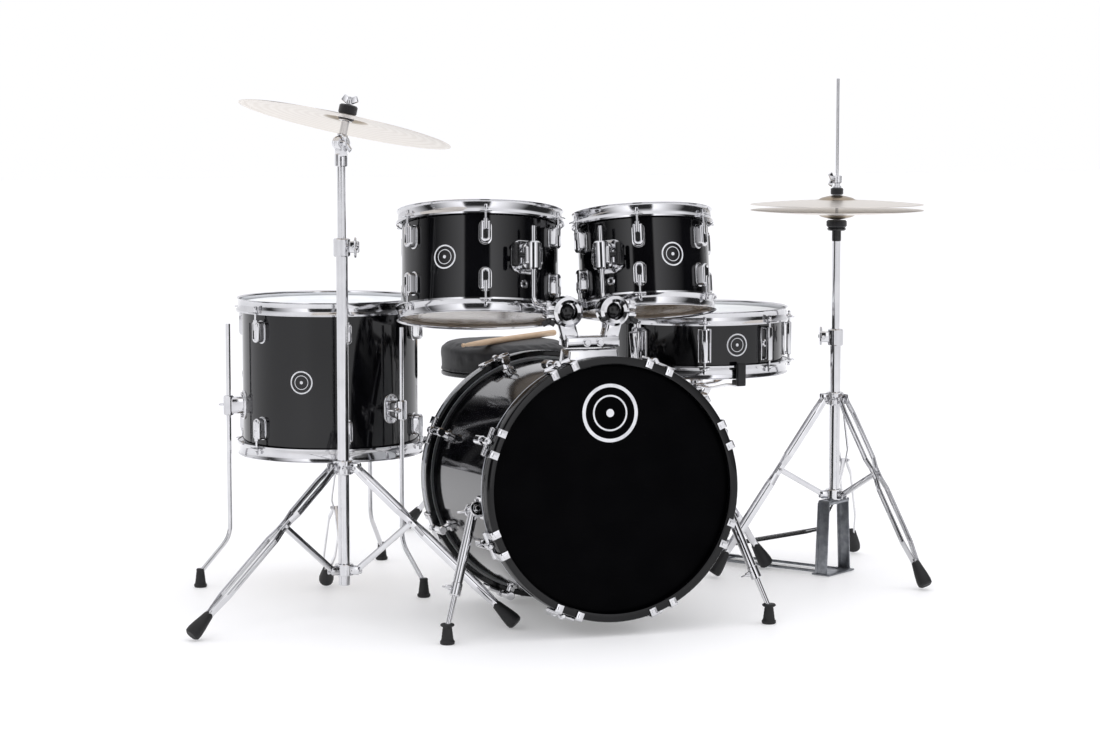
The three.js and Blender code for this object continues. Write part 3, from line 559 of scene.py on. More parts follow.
WRAP = wrap_finish()
LACQUER = lacquer_finish()
CHROME = chrome_finish("bright_chrome_plate", "#dcdcde", 0.04, 0.12, 22)
HOOP_CHROME = chrome_finish("rolled_hoop_chrome", "#d8d8da", 0.06, 0.15, 30)
GREY_STEEL = grey_steel_finish()
COATED = film_finish("coated_white_film", "#eceeef", "#e0e3e5", 0.62, 1.6, 0.12)
BLACK_FILM = film_finish("satin_black_film", "#020203", "#040405", 0.42, 2.2, 0.05)
BLACK_FILM.node_tree.nodes["Principled BSDF"].inputs["Specular IOR Level"].default_value = 0.02
CLEAR_FILM = clear_film_finish()
INNER_WOOD = wood_finish("poplar_ply", "#936d4a", "#a37b55", (1, 1, 0.12), 0.6)
HICKORY = wood_finish("sanded_hickory", "#b39678", "#c6ae94", (0.15, 0.5, 1), 0.5)
RUBBER = moulded_finish("moulded_rubber", "#0c0c0d", "#161618", 0.6, 1.2, 0.08)
NYLON = moulded_finish("black_nylon", "#0a0a0b", "#121214", 0.28, 2.0, 0.03)
PAINT = moulded_finish("white_screen_print", "#dcdde0", "#c9cace", 0.5, 1.0, 0.02)
# painted highlight: the pale grey band on the bass hoops stands in for light caught on the black
# lacquer
PAINTED_HIGHLIGHT = moulded_finish("grey_hoop_painted_highlight", "#93959b", "#a2a4aa", 0.3, 3.0, 0.02)
VINYL = vinyl_finish()
DARK_FELT = felt_finish("black_wool_felt", "#141416", "#222226")
GREY_FELT = felt_finish("grey_wool_felt", "#5c5d62", "#77787e")

# The record's material slot for each finish that has just one.
SLOTS = {"bright_chrome_plate": "chrome_plate", "rolled_hoop_chrome": "chrome_hoop",
         "gloss_pvc_wrap": "black_wrap", "poplar_ply": "black_wrap",
         "polyester_lacquer_hoop": "black_lacquer", "grey_hoop_painted_highlight": "black_lacquer",
         "coated_white_film": "coated_film", "clear_polyester_film": "clear_film",
         "satin_black_film": "black_film", "upholstery_vinyl": "black_vinyl"}


# ---- drums: shell, lugs, hoops and heads --------------------------------------------------

COLLAR, HOOP_WALL, ABOVE = 5.3, 3.5, 11  # head ring, hoop wall and how far a hoop stands proud
EAR = 12  # how far a hoop's ear reaches out
SHELL_WALL = 6.5
BRIDGE_LUG = 69  # height of the snare's lugs
MARK, BASS_MARK = 23, 54  # radii of the printed marks


def rod_out(radius):
    """How far a tension rod stands from the drum's axis."""
    return radius + COLLAR + HOOP_WALL + EAR / 2


def drum_place(name, tall):
    """A drum's own frame, standing on the middle of its lower hoop."""
    top, bottom = middle(name + "_batter_head"), middle(name + "_resonant_head")
    up = (top - bottom).normalized()
    return along((top + bottom) / 2 - up * tall / 2, up)


def flanged_hoop(radius):
    """A pressed hoop, flared outwards at the rim and at the foot; height 0 is the shell's edge."""
    wall = radius + COLLAR + 0.9
    line = [(wall + 6.2, -16), (wall + 6.2, -12.6), (wall + 5.4, -11.6), (wall + 2.4, -7.6),
            (wall + 1.7, -6), (wall + 1.7, 6.6), (wall + 2.4, 8.6), (wall + 4.4, 10.2),
            (wall + 4.2, 11), (wall + 3.4, 11.2), (wall + 0.7, 9.8), (wall - 0.2, 7.6),
            (wall, 6.4), (wall, -7), (wall + 0.6, -8.6), (wall + 4.5, -13.4),
            (wall + 4.6, -16), (wall + 6.2, -16)]
    return spun(line, 96)


def hoop_ears(radius, turns):
    """The flat ears of a hoop, one at each tension rod."""
    parts = []
    for turn in turns:
        place = out_at(Matrix(), turn, radius + COLLAR + 4, -12)
        parts.append(slab(18, 24, 2.4, 1.1, place @ moved(7, 0, 0)))
        parts.append(pad(5, 20, 6, 2.5, 1.5, place @ moved(1, 0, 2)))
    return parts


def tension_rods(radius, turns, length):
    """Rods with a washer and a square key head above each ear."""
    parts = []
    for turn in turns:
        place = out_at(Matrix(), turn, rod_out(radius), -12)
        parts.append(set_at(place, rod(2.6, (0, 0, -length), (0, 0, 0), 12, 0.5)))
        parts.append(ring(0.4, 6.2, 1.2, 2.8, 20, place, 0.4))
        parts.append(spun([(0, 2.6), (4.6, 2.6), (4.6, 4.6), (3.4, 5.6), (0, 5.6)], 20, place))
        parts.append(slab(5.6, 5.6, 8, 0.8, place @ moved(0, 0, 8.6)))
    return parts


def cast_lug(reach):
    """A die-cast lug: a domed capsule on a thin foot, with a slot and a threaded nose."""
    deep = reach + 4
    case = block(deep, 20, 42, (deep / 2, 0, 0))
    for level, corner in ((-1, 9.5), (1, 4)):
        edges = [e for e in outward_edges(case, 5) if e.verts[0].co.z * level > 20]
        ease(case, edges, corner, 6)
    ease(case, outer_face(case).edges[:], 4.8, 4)
    face = outer_face(case)
    bmesh.ops.inset_region(case, faces=[face], thickness=1.6, depth=0)
    bmesh.ops.translate(case, vec=(-2, 0, 0), verts=face.verts[:])
    return [pad(1.6, 25, 47, 12, 0.6), case, rod(5.2, (reach, 0, 4), (reach, 0, 25), 20)]


def bridge_lug(reach, tall):
    """A bridge lug: a slim upright bar held off the shell by two arms on a framed foot."""
    parts = []
    for half in (-1, 1):
        parts.append(slab(6, 4.4, tall, 1.6, moved(3, half * 12, 0)))
        parts.append(slab(5, 27, 4.4, 1.4, moved(2.5, 0, half * (tall / 2 - 2.2))))
        parts.append(slab(reach, 9, 6, 1.6, moved(reach / 2, 0, half * (tall / 2 - 4))))
    parts.append(slab(10, 13, tall, 3, moved(reach, 0, 0), 3))
    return parts


def lug_row(radius, tall, turns, centres, kind):
    """All the lugs of one drum; the ones near the lower hoop point down."""
    parts = []
    reach = rod_out(radius) - radius
    for turn in turns:
        for centre in centres:
            flip = turned(180, "X") if centre < tall / 2 else Matrix()
            place = out_at(Matrix(), turn, radius - 0.6, centre) @ flip
            made = cast_lug(reach) if kind == "cast" else bridge_lug(reach, BRIDGE_LUG)
            parts.append(gather(made, place))
    return parts


def head_shape(radius):
    """A head: flat film that rolls over the shell's edge into its ring; height 0 is the edge."""
    return spun([(0, 1.6), (radius - 6, 1.6), (radius - 1.2, 1.3), (radius + 1.6, -0.2),
                 (radius + 3.4, -3), (radius + 4.9, -4.2), (radius + 4.9, -8), (radius + 0.6, -8),
                 (radius + 0.6, -1.4), (radius - 1.4, 0.5), (radius - 6, 0.8), (0, 0.8)], 96)


def on_shell(part, radius):
    """Bends a flat mark in the YZ plane round a shell of this radius."""
    for v in part.verts:
        a, r = v.co.y / radius, radius + v.co.x
        v.co = (r * cos(a), r * sin(a), v.co.z)
    return part


def printed_mark(size):
    """A plain round mark: a thick ring, a thin ring and a dot, flat in the YZ plane."""
    stand = turned(90, "Y")
    outer = ring(size * 0.88, size, 0, 0.35, 64, stand, 0.1)
    inner = ring(size * 0.56, size * 0.62, 0, 0.35, 48, stand, 0.1)
    dot = ring(0.01, size * 0.14, 0, 0.35, 24, stand, 0.1)
    return [outer, inner, dot]


def vent(radius, degree, z):
    """A shell's air vent: a small round eyelet."""
    place = out_at(Matrix(), degree, radius - 0.4, z) @ turned(90, "Y")
    return spun([(3.4, 0), (8.6, 0), (8.6, 1), (7, 2.6), (4.6, 2.6), (3.4, 1.4), (3.4, 0)],
                24, place)


def drum(name, radius, tall, turns, centres, kind, badge, vents=()):
    """One tom or snare, from its shell to its printed mark, all in the drum's own frame."""
    place, body = drum_place(name, tall), BODY[name + "_shell"]
    low_edge, high_edge = ABOVE, tall - ABOVE
    inner = radius - SHELL_WALL
    outside = spun([(inner + 2, low_edge + 3), (radius - 1.4, low_edge), (radius, low_edge + 1.6),
                    (radius, high_edge - 1.6), (radius - 1.4, high_edge),
                    (inner + 2, high_edge - 3), (inner + 2, low_edge + 3)], 96)
    piece(name + "_wrap", outside, WRAP, body, [name + "_shell"], place)
    lining = spun([(inner, low_edge + 4), (inner + 2.4, low_edge + 2.6),
                   (inner + 2.4, high_edge - 2.6), (inner, high_edge - 4),
                   (inner, low_edge + 4)], 96)
    piece(name + "_lining", lining, INNER_WOOD, body, (), place)
    lugs = lug_row(radius, tall, turns, centres, kind)
    piece(name + "_lugs", lugs, CHROME, body, (), place)
    top = place @ moved(0, 0, high_edge)
    bottom = place @ moved(0, 0, low_edge) @ turned(180, "X")
    lug_half = 24 if kind == "cast" else 34
    for side, at, ways in (("top", top, turns), ("bottom", bottom, [-t for t in turns])):
        reach = tall - max(centres) - lug_half - ABOVE - 12
        piece(f"{name}_{side}_rim", flanged_hoop(radius), HOOP_CHROME, body,
              [f"{name}_{side}_hoop"], at)
        rods = hoop_ears(radius, ways) + tension_rods(radius, ways, reach + 6)
        piece(f"{name}_{side}_rods", rods, CHROME, body, (), at)
    piece(name + "_batter_skin", head_shape(radius), COATED, body, [name + "_batter_head"], top)
    piece(name + "_resonant_skin", head_shape(radius), CLEAR_FILM, body,
          [name + "_resonant_head"], bottom)
    mark = [on_shell(part, radius) for part in printed_mark(MARK)]
    piece(name + "_mark", mark, PAINT, body, (),
          place @ moved(0, 0, tall / 2) @ turned(badge))
    if vents:
        eyelets = [vent(radius, degree, z) for degree, z in vents]
        piece(name + "_vents", eyelets, CHROME, body, (), place)
    return place


TOM_TURN = {"tom12": -102.7, "tom10": -113.9}  # where the first lug stands
# Radius, height over the hoops, the bracket's turn, and the arm's length above its bend.
TOMS = {"tom12": (152.4, 214, -72.7, 150), "tom10": (127, 198, -141, 142)}
LUG_IN = 62  # from a hoop's outer edge to the middle of a lug
ARM, ARM_BALL = 5.25, 15.6  # radii
ARM_BEND = 14  # height of the arm's bend over the foot of the tom


def arm_radius(radius):
    """How far a tom's arm stands from the drum's axis."""
    return radius + COLLAR + HOOP_WALL + EAR + ARM + 4


def tom_bracket(radius, tall, degree, side):
    """The tom's cast bracket: an oval foot, a clamp body bored for the arm, and a wing screw."""
    out = arm_radius(radius) - radius
    place = out_at(Matrix(), degree, radius - 0.8, tall / 2)
    parts = [pad(5, 62, 66, 20, 3, place)]
    parts.append(pad(out - 8, 34, 50, 10, 5, place @ moved(3, 0, 0)))
    parts.append(set_at(place @ moved(out + 0.8, 0, 0), rod(15, (0, 0, -27), (0, 0, 27), 32, 3)))
    parts.append(slab(13, 40, 34, 4, place @ moved(out - 1, 0, 0), 3))
    for z in (-18, 18):
        parts.append(bolt(4.5, 5, place @ moved(5, 26 * side, z) @ turned(90, "Y")))
    knob = gather([rod(5.5, (0, 0, 0), (0, 0, 18), 20, 1),
                   slab(15, 46, 12, 4.5, moved(0, 0, 21), 4)],
                  place @ moved(out - 2, 18 * side, 0) @ turned(-90 * side, "X"))
    return parts, knob


def mounted_tom(name, badge, vents):
    """A tom on its arm, with the mark turned to badge."""
    radius, tall, bracket, rod_top = TOMS[name]
    turns = evenly(6, TOM_TURN[name])
    place = drum(name, radius, tall, turns, (LUG_IN, tall - LUG_IN), "cast", badge, vents)
    side = -1 if name == "tom12" else 1
    parts, screw = tom_bracket(radius, tall, bracket, side)
    body = BODY[name + "_shell"]
    piece(name + "_bracket", parts, CHROME, body, (), place)
    piece(name + "_bracket_wing", screw, NYLON, body, (), place)
    centre = pivot(name + "_tilt")
    out = arm_radius(radius)
    corner = (place @ out_at(Matrix(), bracket, out, ARM_BEND)).to_translation()
    top = (place @ out_at(Matrix(), bracket, out, ARM_BEND + rod_top)).to_translation()
    arm_body = BODY[name + "_arm"]
    start = centre + (corner - centre).normalized() * 12
    piece(name + "_arm_rod", pipe(ARM, [start, corner, top], 18), CHROME, arm_body, [name + "_arm"])
    piece(name + "_arm_ball", ball(ARM_BALL, centre, 32), NYLON, arm_body)


# ---- the holder on the bass drum ------------------------------------------------------------


HOLDER_DOWN = 58  # from the middle of the balls to the top of the casting


def tom_holder():
    """The double holder: a saddle on the bass drum, two splayed necks and their ball clamps."""
    left, right = pivot("tom12_tilt"), pivot("tom10_tilt")
    centre = (left + right) / 2
    base_top = centre.z - HOLDER_DOWN
    base = block(112, 62, 62, (centre.x, centre.y, base_top - 31 - 12))
    for v in base.verts:
        if v.co.z > base_top - 40:
            v.co.x = centre.x + (v.co.x - centre.x) * 0.86
            v.co.y = centre.y + (v.co.y - centre.y) * 0.8
    ease(base, base.edges, 4, 3)
    upper = slab(104, 50, 19, 2.5, moved(centre.x, centre.y, base_top + 1), 3)
    parts, dark = [base, upper], []
    for x in (-13, 13):
        parts.append(bolt(6, 4, moved(centre.x + x, centre.y - 25, base_top + 1)
                          @ turned(90, "X")))
    for spot, way in ((left, -1), (right, 1)):
        neck = slab(30, 30, 40, 6, moved(spot.x - way * 3, spot.y, spot.z - 34)
                    @ turned(way * 14, "Y"), 3)
        parts.append(neck)
        clamp = along(spot, Y)
        parts.append(spun([(17.4, -17), (23, -20), (28.4, -15), (30, 0), (28.4, 15),
                           (23, 20), (17.4, 17), (16.6, 0), (17.4, -17)], 48, clamp))
        for z in (7.5, -7.5):
            parts.append(slab(17, 32, 9, 3, moved(spot.x + way * 34, spot.y, spot.z + z), 3))
        parts.append(bolt(4.6, 6, moved(spot.x + way * 36, spot.y - 6, spot.z + 11.6)))
        dark.append(wing(moved(spot.x + way * 36, spot.y - 6, spot.z - 12.4) @ turned(180, "X"),
                         0.8))
    piece("holder_casting", parts, CHROME, BODY["tom_holder"], ["tom_holder"])
    piece("holder_dark_parts", dark, NYLON, BODY["tom_holder"])


# ---- floor tom ------------------------------------------------------------------------------

FLOOR_TOM = (177.8, 317)  # radius, and height over the hoops
FLOOR_LUG_TURN = -153.5
FLOOR_LEG_TURNS = {"left": 177.7, "right": -61.5, "rear": 53.3}
LEG_ROD = 4.75
LEG_OUT = FLOOR_TOM[0] + COLLAR + HOOP_WALL + EAR + LEG_ROD + 6
LEG_FOOT_OUT = 271
LEG_TOP, LEG_BEND, LEG_ANKLE, LEG_END = 534, 102, 30, 8  # heights down a leg
FLOOR_BRACKET = 369  # height of the leg brackets


def rubber_foot(low_radius, high_radius, tall, place=Matrix()):
    """A ribbed, tapered rubber tip that stands on its own flat sole."""
    line = [(0, 0), (low_radius - 2, 0), (low_radius, 2), (low_radius, 6), (low_radius - 1.6, 7.4)]
    for i in range(4):
        z = 9 + i * (tall - 12) / 4
        r = low_radius - 1 + (high_radius - low_radius) * (z / tall)
        line += [(r, z), (r - 0.8, z + (tall - 12) / 6)]
    line += [(high_radius, tall - 2), (high_radius - 1.5, tall), (0, tall)]
    return spun(line, 28, place)


def floor_leg(name, degree, centre):
    """A bent leg rod on its rubber foot."""
    point = [polar(centre, degree, r, z) for r, z in
             ((LEG_OUT, LEG_TOP), (LEG_OUT, LEG_BEND), (LEG_FOOT_OUT, LEG_ANKLE),
              (LEG_FOOT_OUT, LEG_END))]
    body = BODY["floor_tom_leg_" + name]
    piece(f"floor_leg_{name}_rod", pipe(LEG_ROD, point, 22), CHROME, body,
          ["floor_tom_leg_" + name])
    piece(f"floor_leg_{name}_foot", rubber_foot(13, 8.5, 38, moved(point[3].x, point[3].y, 0)),
          RUBBER, body)


def floor_tom():
    radius, tall = FLOOR_TOM
    turns = evenly(6, FLOOR_LUG_TURN)
    place = drum("floor_tom", radius, tall, turns, (LUG_IN, tall - LUG_IN), "cast", -122.4,
                 [(-200, tall / 2)])
    parts, screws = [], []
    reach = LEG_OUT - radius
    for degree in FLOOR_LEG_TURNS.values():
        spot = out_at(Matrix(), degree, radius - 0.8, FLOOR_BRACKET - low("floor_tom_shell").z
                      + ABOVE)
        parts.append(pad(4, 36, 60, 16, 2.5, spot))
        parts.append(pad(reach - 4, 22, 34, 7, 4, spot @ moved(2, 0, 0)))
        clamp = rod(10.5, (reach + 0.8, 0, -20), (reach + 0.8, 0, 20), 28, 2.5)
        parts.append(set_at(spot, clamp))
        for z in (-22, 22):
            parts.append(bolt(3.6, 3, spot @ moved(4, 0, z) @ turned(90, "Y")))
        screws.append(wing(spot @ moved(reach + 0.8, -9, 0) @ turned(90, "X"), 1.0))
    body = BODY["floor_tom_shell"]
    piece("floor_tom_brackets", parts, CHROME, body, (), place)
    piece("floor_tom_wing_screws", screws, CHROME, body, (), place)
    centre = middle("floor_tom_batter_head")
    for name, degree in FLOOR_LEG_TURNS.items():
        floor_leg(name, degree, centre)


# ---- bass drum --------------------------------------------------------------------------------

BASS_R, BASS_LONG = 229, 450  # shell's radius, and the length over the hoops
HOOP_DEEP, HEAD_IN = 40, 18  # a hoop's depth, and how far in from its face the film lies
BASS_WALL = 7
BASS_HOOP_R = BASS_R + 15.5
BASS_TURNS = evenly(8, 112.5)
CLAW_HALF = 21  # from a claw's middle to each of its two hooks
PAINTED_HIGHLIGHTS = {"front": (3, 7), "rear": (12, 26)}  # where a hoop's pale band, a painted highlight on the lacquer, starts and ends
SPUR_FOOT, SPUR_TUBE_SHARE, SPUR_INSIDE = 30, 0.72, 95  # the rod's end, tube's part, overlap


def bass_place():
    """The bass drum's own frame: Z runs from the rear hoop's face to the front one's."""
    front, rear = middle("bass_front_head"), middle("bass_rear_head")
    forward = (front - rear).normalized()
    return along((front + rear) / 2 - forward * BASS_LONG / 2, forward)


def wood_hoop():
    """A wooden hoop with eased edges; height 0 is its back and 40 its outer face."""
    inner, mouth, out, face = BASS_R + COLLAR, BASS_R + 0.6, BASS_HOOP_R, HOOP_DEEP
    step = HOOP_DEEP - HEAD_IN + 2.4
    return spun([(inner, 1), (inner + 1, 0), (out - 2, 0), (out, 2), (out, face - 3),
                 (out - 1, face - 0.9), (out - 3, face), (mouth + 2, face), (mouth, face - 2),
                 (mouth, step), (inner, step), (inner, 1)], 128)


def claw():
    """A pair of hooks over the hoop, tied behind it by a bridge that holds the rod's head."""
    parts = []
    for half in (-1, 1):
        hook = eased([(0.2, 0, 0), (2.4, 0, 2), (2.4, 0, HOOP_DEEP + 2.2),
                      (-13, 0, HOOP_DEEP + 2.2)], 3, 4)
        plate = [(-2, 0, HOOP_DEEP + 4), (-9, 0, HOOP_DEEP + 4)]
        parts.append(strip(hook, 14, 2.6, half * CLAW_HALF))
        parts.append(strip(plate, 7, 2, half * CLAW_HALF))
    parts.append(rod(4.6, (3.6, -27, 3), (3.6, 27, 3), 20, 1.2))
    parts.append(rod(7.5, (5, 0, -6), (5, 0, 11), 24, 1.6))
    parts.append(rod(4.6, (5, 0, 11), (5, 0, 19), 20, 1.4))
    return parts


def strip(points, wide, thick, across=0.0):
    """A bent flat strip lying in the XZ plane, this wide across Y."""
    part = swept(section(wide, thick, thick * 0.25), points, Y)
    part.transform(moved(0, across, 0))
    return part


def bass_lug():
    """A short turned post with a round nose that the claw's rod screws into."""
    post = spun([(0, 0), (12, 0), (12, 2.4), (8, 4), (7, 13), (0, 13)], 28, turned(90, "Y"))
    nose = rod(8.8, (20, 0, -17), (20, 0, 17), 32, 2.2)
    return [post, nose, slab(12, 8, 14, 2.5, moved(14, 0, 0), 3)]


def bass_drum():
    place, body = bass_place(), BODY["bass_shell"]
    inner, near, far = BASS_R - BASS_WALL, HEAD_IN, BASS_LONG - HEAD_IN
    shell = spun([(inner + 2, near + 3), (BASS_R - 1.5, near), (BASS_R, near + 2),
                  (BASS_R, far - 2), (BASS_R - 1.5, far), (inner + 2, far - 3),
                  (inner + 2, near + 3)], 128)
    piece("bass_wrap", shell, WRAP, body, ["bass_shell"], place)
    lining = spun([(inner, near + 6), (inner + 2.4, near + 3), (inner + 2.4, far - 3),
                   (inner, far - 6), (inner, near + 6)], 128)
    piece("bass_lining", lining, INNER_WOOD, body, (), place)
    front = place @ moved(0, 0, BASS_LONG - HOOP_DEEP)
    rear = place @ moved(0, 0, HOOP_DEEP) @ turned(180, "X")
    for side, at, flip in (("front", front, 1), ("rear", rear, -1)):
        hoop = f"bass_{side}_hoop"
        piece(f"bass_{side}_wood", wood_hoop(), LACQUER, body, [hoop], at)
        # painted highlight: a pale grey band round the hoop's outer face stands in for the light
        # that the lacquer catches
        band = ring(BASS_HOOP_R - 1, BASS_HOOP_R + 0.25, *PAINTED_HIGHLIGHTS[side], 128, edge=0.2)
        piece(f"bass_{side}_painted_highlight", band, PAINTED_HIGHLIGHT, body, (), at)
        claws, rods, lugs = [], [], []
        for turn in BASS_TURNS:
            spot = out_at(Matrix(), flip * turn, BASS_HOOP_R)
            claws.append(gather(claw(), spot))
            post = out_at(Matrix(), flip * turn, BASS_R - 0.6, -47)
            lugs.append(gather(bass_lug(), post))
            rods.append(set_at(spot, rod(3, (4.5, 0, -44), (4.5, 0, 0), 14)))
        piece(f"bass_{side}_claws", claws, CHROME, body, (), at)
        piece(f"bass_{side}_tension_rods", rods, CHROME, body, (), at)
        piece(f"bass_{side}_lugs", lugs, CHROME, body, (), at)
    film = place @ moved(0, 0, BASS_LONG - HEAD_IN)
    piece("bass_front_skin", head_shape(BASS_R), BLACK_FILM, body, ["bass_front_head"], film)
    back = place @ moved(0, 0, HEAD_IN) @ turned(180, "X")
    piece("bass_rear_skin", head_shape(BASS_R), COATED, body, ["bass_rear_head"], back)
    mark = gather(printed_mark(BASS_MARK), turned(-90, "Y"))
    piece("bass_front_mark", mark, PAINT, body, (), film @ moved(0, 140, 1.5))
    for side, name in ((-1, "left"), (1, "right")):
        spur(side, name, place)


def spur(side, name, place):
    """A folding spur: shell bracket, hinge block, outer tube, sliding rod and rubber foot."""
    hinge, line = pivot(f"spur_{name}_fold"), axis(f"spur_{name}_fold")
    down = axis(f"spur_{name}_extend")
    body, leg_body = BODY["bass_shell"], BODY["spur_tube_" + name]
    foot_body = BODY["spur_foot_" + name]
    square = along(hinge, line, X * side)
    hub = place.inverted() @ hinge
    turn = degrees(atan2(hub.y, hub.x))
    foot_plate = place @ out_at(Matrix(), turn, BASS_R - 1, hub.z)
    parts = [pad(6, 44, 62, 14, 3, foot_plate)]
    for z in (-15, 15):
        parts.append(slab(27, 26, 5.4, 2.4, square @ moved(-5, 0, z), 3))
        parts.append(ring(3.6, 13, z - 2.7, z + 2.7, 28, square, 1))
    parts.append(set_at(square, rod(3.4, (0, 0, -21), (0, 0, 21), 16)))
    parts.append(bolt(5.5, 4, square @ moved(0, 0, 17.6)))
    for y in (-14, 14):
        for z in (-20, 20):
            parts.append(bolt(3.4, 2.5, foot_plate @ moved(6, y, z) @ turned(90, "Y")))
    parts.append(wing(square @ moved(0, 0, -17.6) @ turned(180, "X"), 1.3))
    piece(f"spur_{name}_bracket", parts, CHROME, body)
    reach = (hinge.z - SPUR_FOOT) / -down.z
    end = hinge + down * reach
    mouth = SPUR_TUBE_SHARE * reach
    tube = [rod(9, hinge + down * 6, hinge + down * mouth, 28, 1.2),
            rod(10.4, hinge + down * (mouth - 22), hinge + down * (mouth + 3), 28, 1.6),
            ring(3.9, 10.4, -11.6, 11.6, 28, square, 1)]
    clamp = along(hinge + down * (mouth - 10), down, line)
    piece(f"spur_{name}_tube", tube, CHROME, leg_body, ["spur_tube_" + name])
    knob = clamp @ moved(0, 10, 0) @ turned(-90, "X")
    piece(f"spur_{name}_screw", [wing(knob, 0.8)], CHROME, leg_body)
    inner = rod(5, hinge + down * (mouth - SPUR_INSIDE), end, 20)
    piece(f"spur_{name}_rod", inner, CHROME, foot_body, ["spur_foot_" + name])
    tip = gather([rubber_foot(13.5, 9, 36), ring(0.5, 13, 33, 38, 32, edge=1.8)])
    tilt = along(Vector((end.x, end.y, 0)), Z)
    piece(f"spur_{name}_rubber", tip, RUBBER, foot_body, (), tilt)


# ---- stands -----------------------------------------------------------------------------------


def leg_strips(place, length, mid):
    """Two strips that stand apart, pinched where they meet a collar, a brace and a foot."""
    parts = []
    for half in (-1, 1):
        line = [(9.2, 0), (9.2, 12), (11.5, 34), (11.5, mid - 34), (6.6, mid - 12),
                (6.6, mid + 12), (11.5, mid + 36), (11.5, length - 92), (5.6, length - 52),
                (5.6, length - 14)]
        parts.append(swept(section(2.8, 11.5, 0.6), [(half * o, 0, d) for o, d in line], X))
    for d in (0, mid):
        parts.append(rod(2.6, (-12.6 if d == 0 else -9.4, 0, d), (12.6 if d == 0 else 9.4, 0, d),
                         12, 0.5, Y))
        for half in (-1, 1):
            parts.append(ball(3.6, (half * (12 if d == 0 else 9), 0, d), 12))
    for part in parts:
        part.transform(place)
    return parts


def boot(place, length):
    """A rubber boot pulled over the pinched end of a leg."""
    line = [(0, 9), (11, 9), (14.4, 6), (15, -2), (13.2, -16), (10.4, -32), (8.8, -42),
            (7, -45), (0, -45)]
    return spun(line[::-1], 24, place @ moved(0, 0, length - 2))


def leg_frame(centre, degree, start, end):
    """A frame running down a leg, from radius and height to radius and height."""
    a, b = polar(centre, degree, *start), polar(centre, degree, *end)
    across = polar((0, 0), degree + 90, 1, 0)
    return along(a, b - a, across), (b - a).length


def ears(centre, degree, tube, hinge, z, wide, tall, thick=2.6):
    """A pair of riveted ears on a ring, with the pivot between them."""
    place = out_at(upright(centre), degree, tube, z)
    return [slab(hinge - tube + 8, thick, tall, 2.4,
                 place @ moved((hinge - tube + 8) / 2, half * wide, 0)) for half in (-1, 1)]


def standing_tripod(name, node_name, centre, tube, collar, lower, foot, turns, share=0.72):
    """The base of a stand that stays open: rings, doubled legs, braces and rubber boots."""
    metal, rubber = [], []
    spot = upright(centre)
    start = tube + 12
    slope = (collar - 15) / (foot - start)
    drop = (collar - lower) * share
    mid = (start + drop / slope, collar - drop)
    for z, half in ((collar, 13), (lower, 11)):
        metal.append(ring(tube - 1, tube + 7, z - half, z + half, 32, spot, 1.6))
    for degree in turns:
        place, length = leg_frame(centre, degree, (start, collar), (foot, 15))
        metal += leg_strips(place, length, hypot(mid[0] - start, mid[1] - collar))
        metal += ears(centre, degree, tube, start, collar, 6, 20)
        metal += ears(centre, degree, tube, start, lower, 6.6, 15)
        a, b = (polar(centre, degree, *p) for p in ((start, lower), mid))
        across = polar((0, 0), degree + 90, 1, 0)
        metal.append(swept(section(9, 11, 1), [a, b], across))
        rubber.append(boot(place, length))
    metal.append(wing(spot @ turned(turns[0] + 60) @ moved(tube + 6, 0, collar)
                      @ turned(90, "Y"), 0.8))
    piece(name + "_legs", metal, CHROME, BODY[node_name])
    piece(name + "_boots", rubber, RUBBER, BODY[node_name])


def column(centre, radius, base, top, sides=32, edge=0.8):
    return rod(radius, (centre[0], centre[1], base), (centre[0], centre[1], top), sides, edge)


def height_clamp(centre, radius, z, degree):
    """A split sleeve at a tube's top, closed by a bolt with a wing."""
    spot = upright(centre)
    out = out_at(spot, degree, radius, z)
    return [ring(radius - 0.5, radius + 5, z - 22, z + 12, 32, spot, 1.8),
            slab(20, 15, 22, 3, out @ moved(12, 0, -4), 3),
            rod(4, out @ Vector((16, -14, -4)), out @ Vector((16, 12, -4)), 16),
            wing(out @ moved(16, -13, -4) @ turned(90, "X") @ turned(90), 1.1)]


# ---- crash stand ---------------------------------------------------------------------------

TUBE, UPPER_TUBE = 11, 8  # radii of a stand's lower and upper tube
CRASH_TOP = 717  # the mast's mouth
CRASH_FOOT = (343, 15)  # radius and height of a leg's end
CRASH_JOINT = 150  # how far down a leg its brace is riveted
CRASH_SEAT, CRASH_STEM = 51, 86  # heights of the cymbal's seat and of the stem over the tilter
CRASH_DISH, HAT_DISH = (203, 14, 22), (178, 13, 24)  # radius, bow and bell of a cymbal


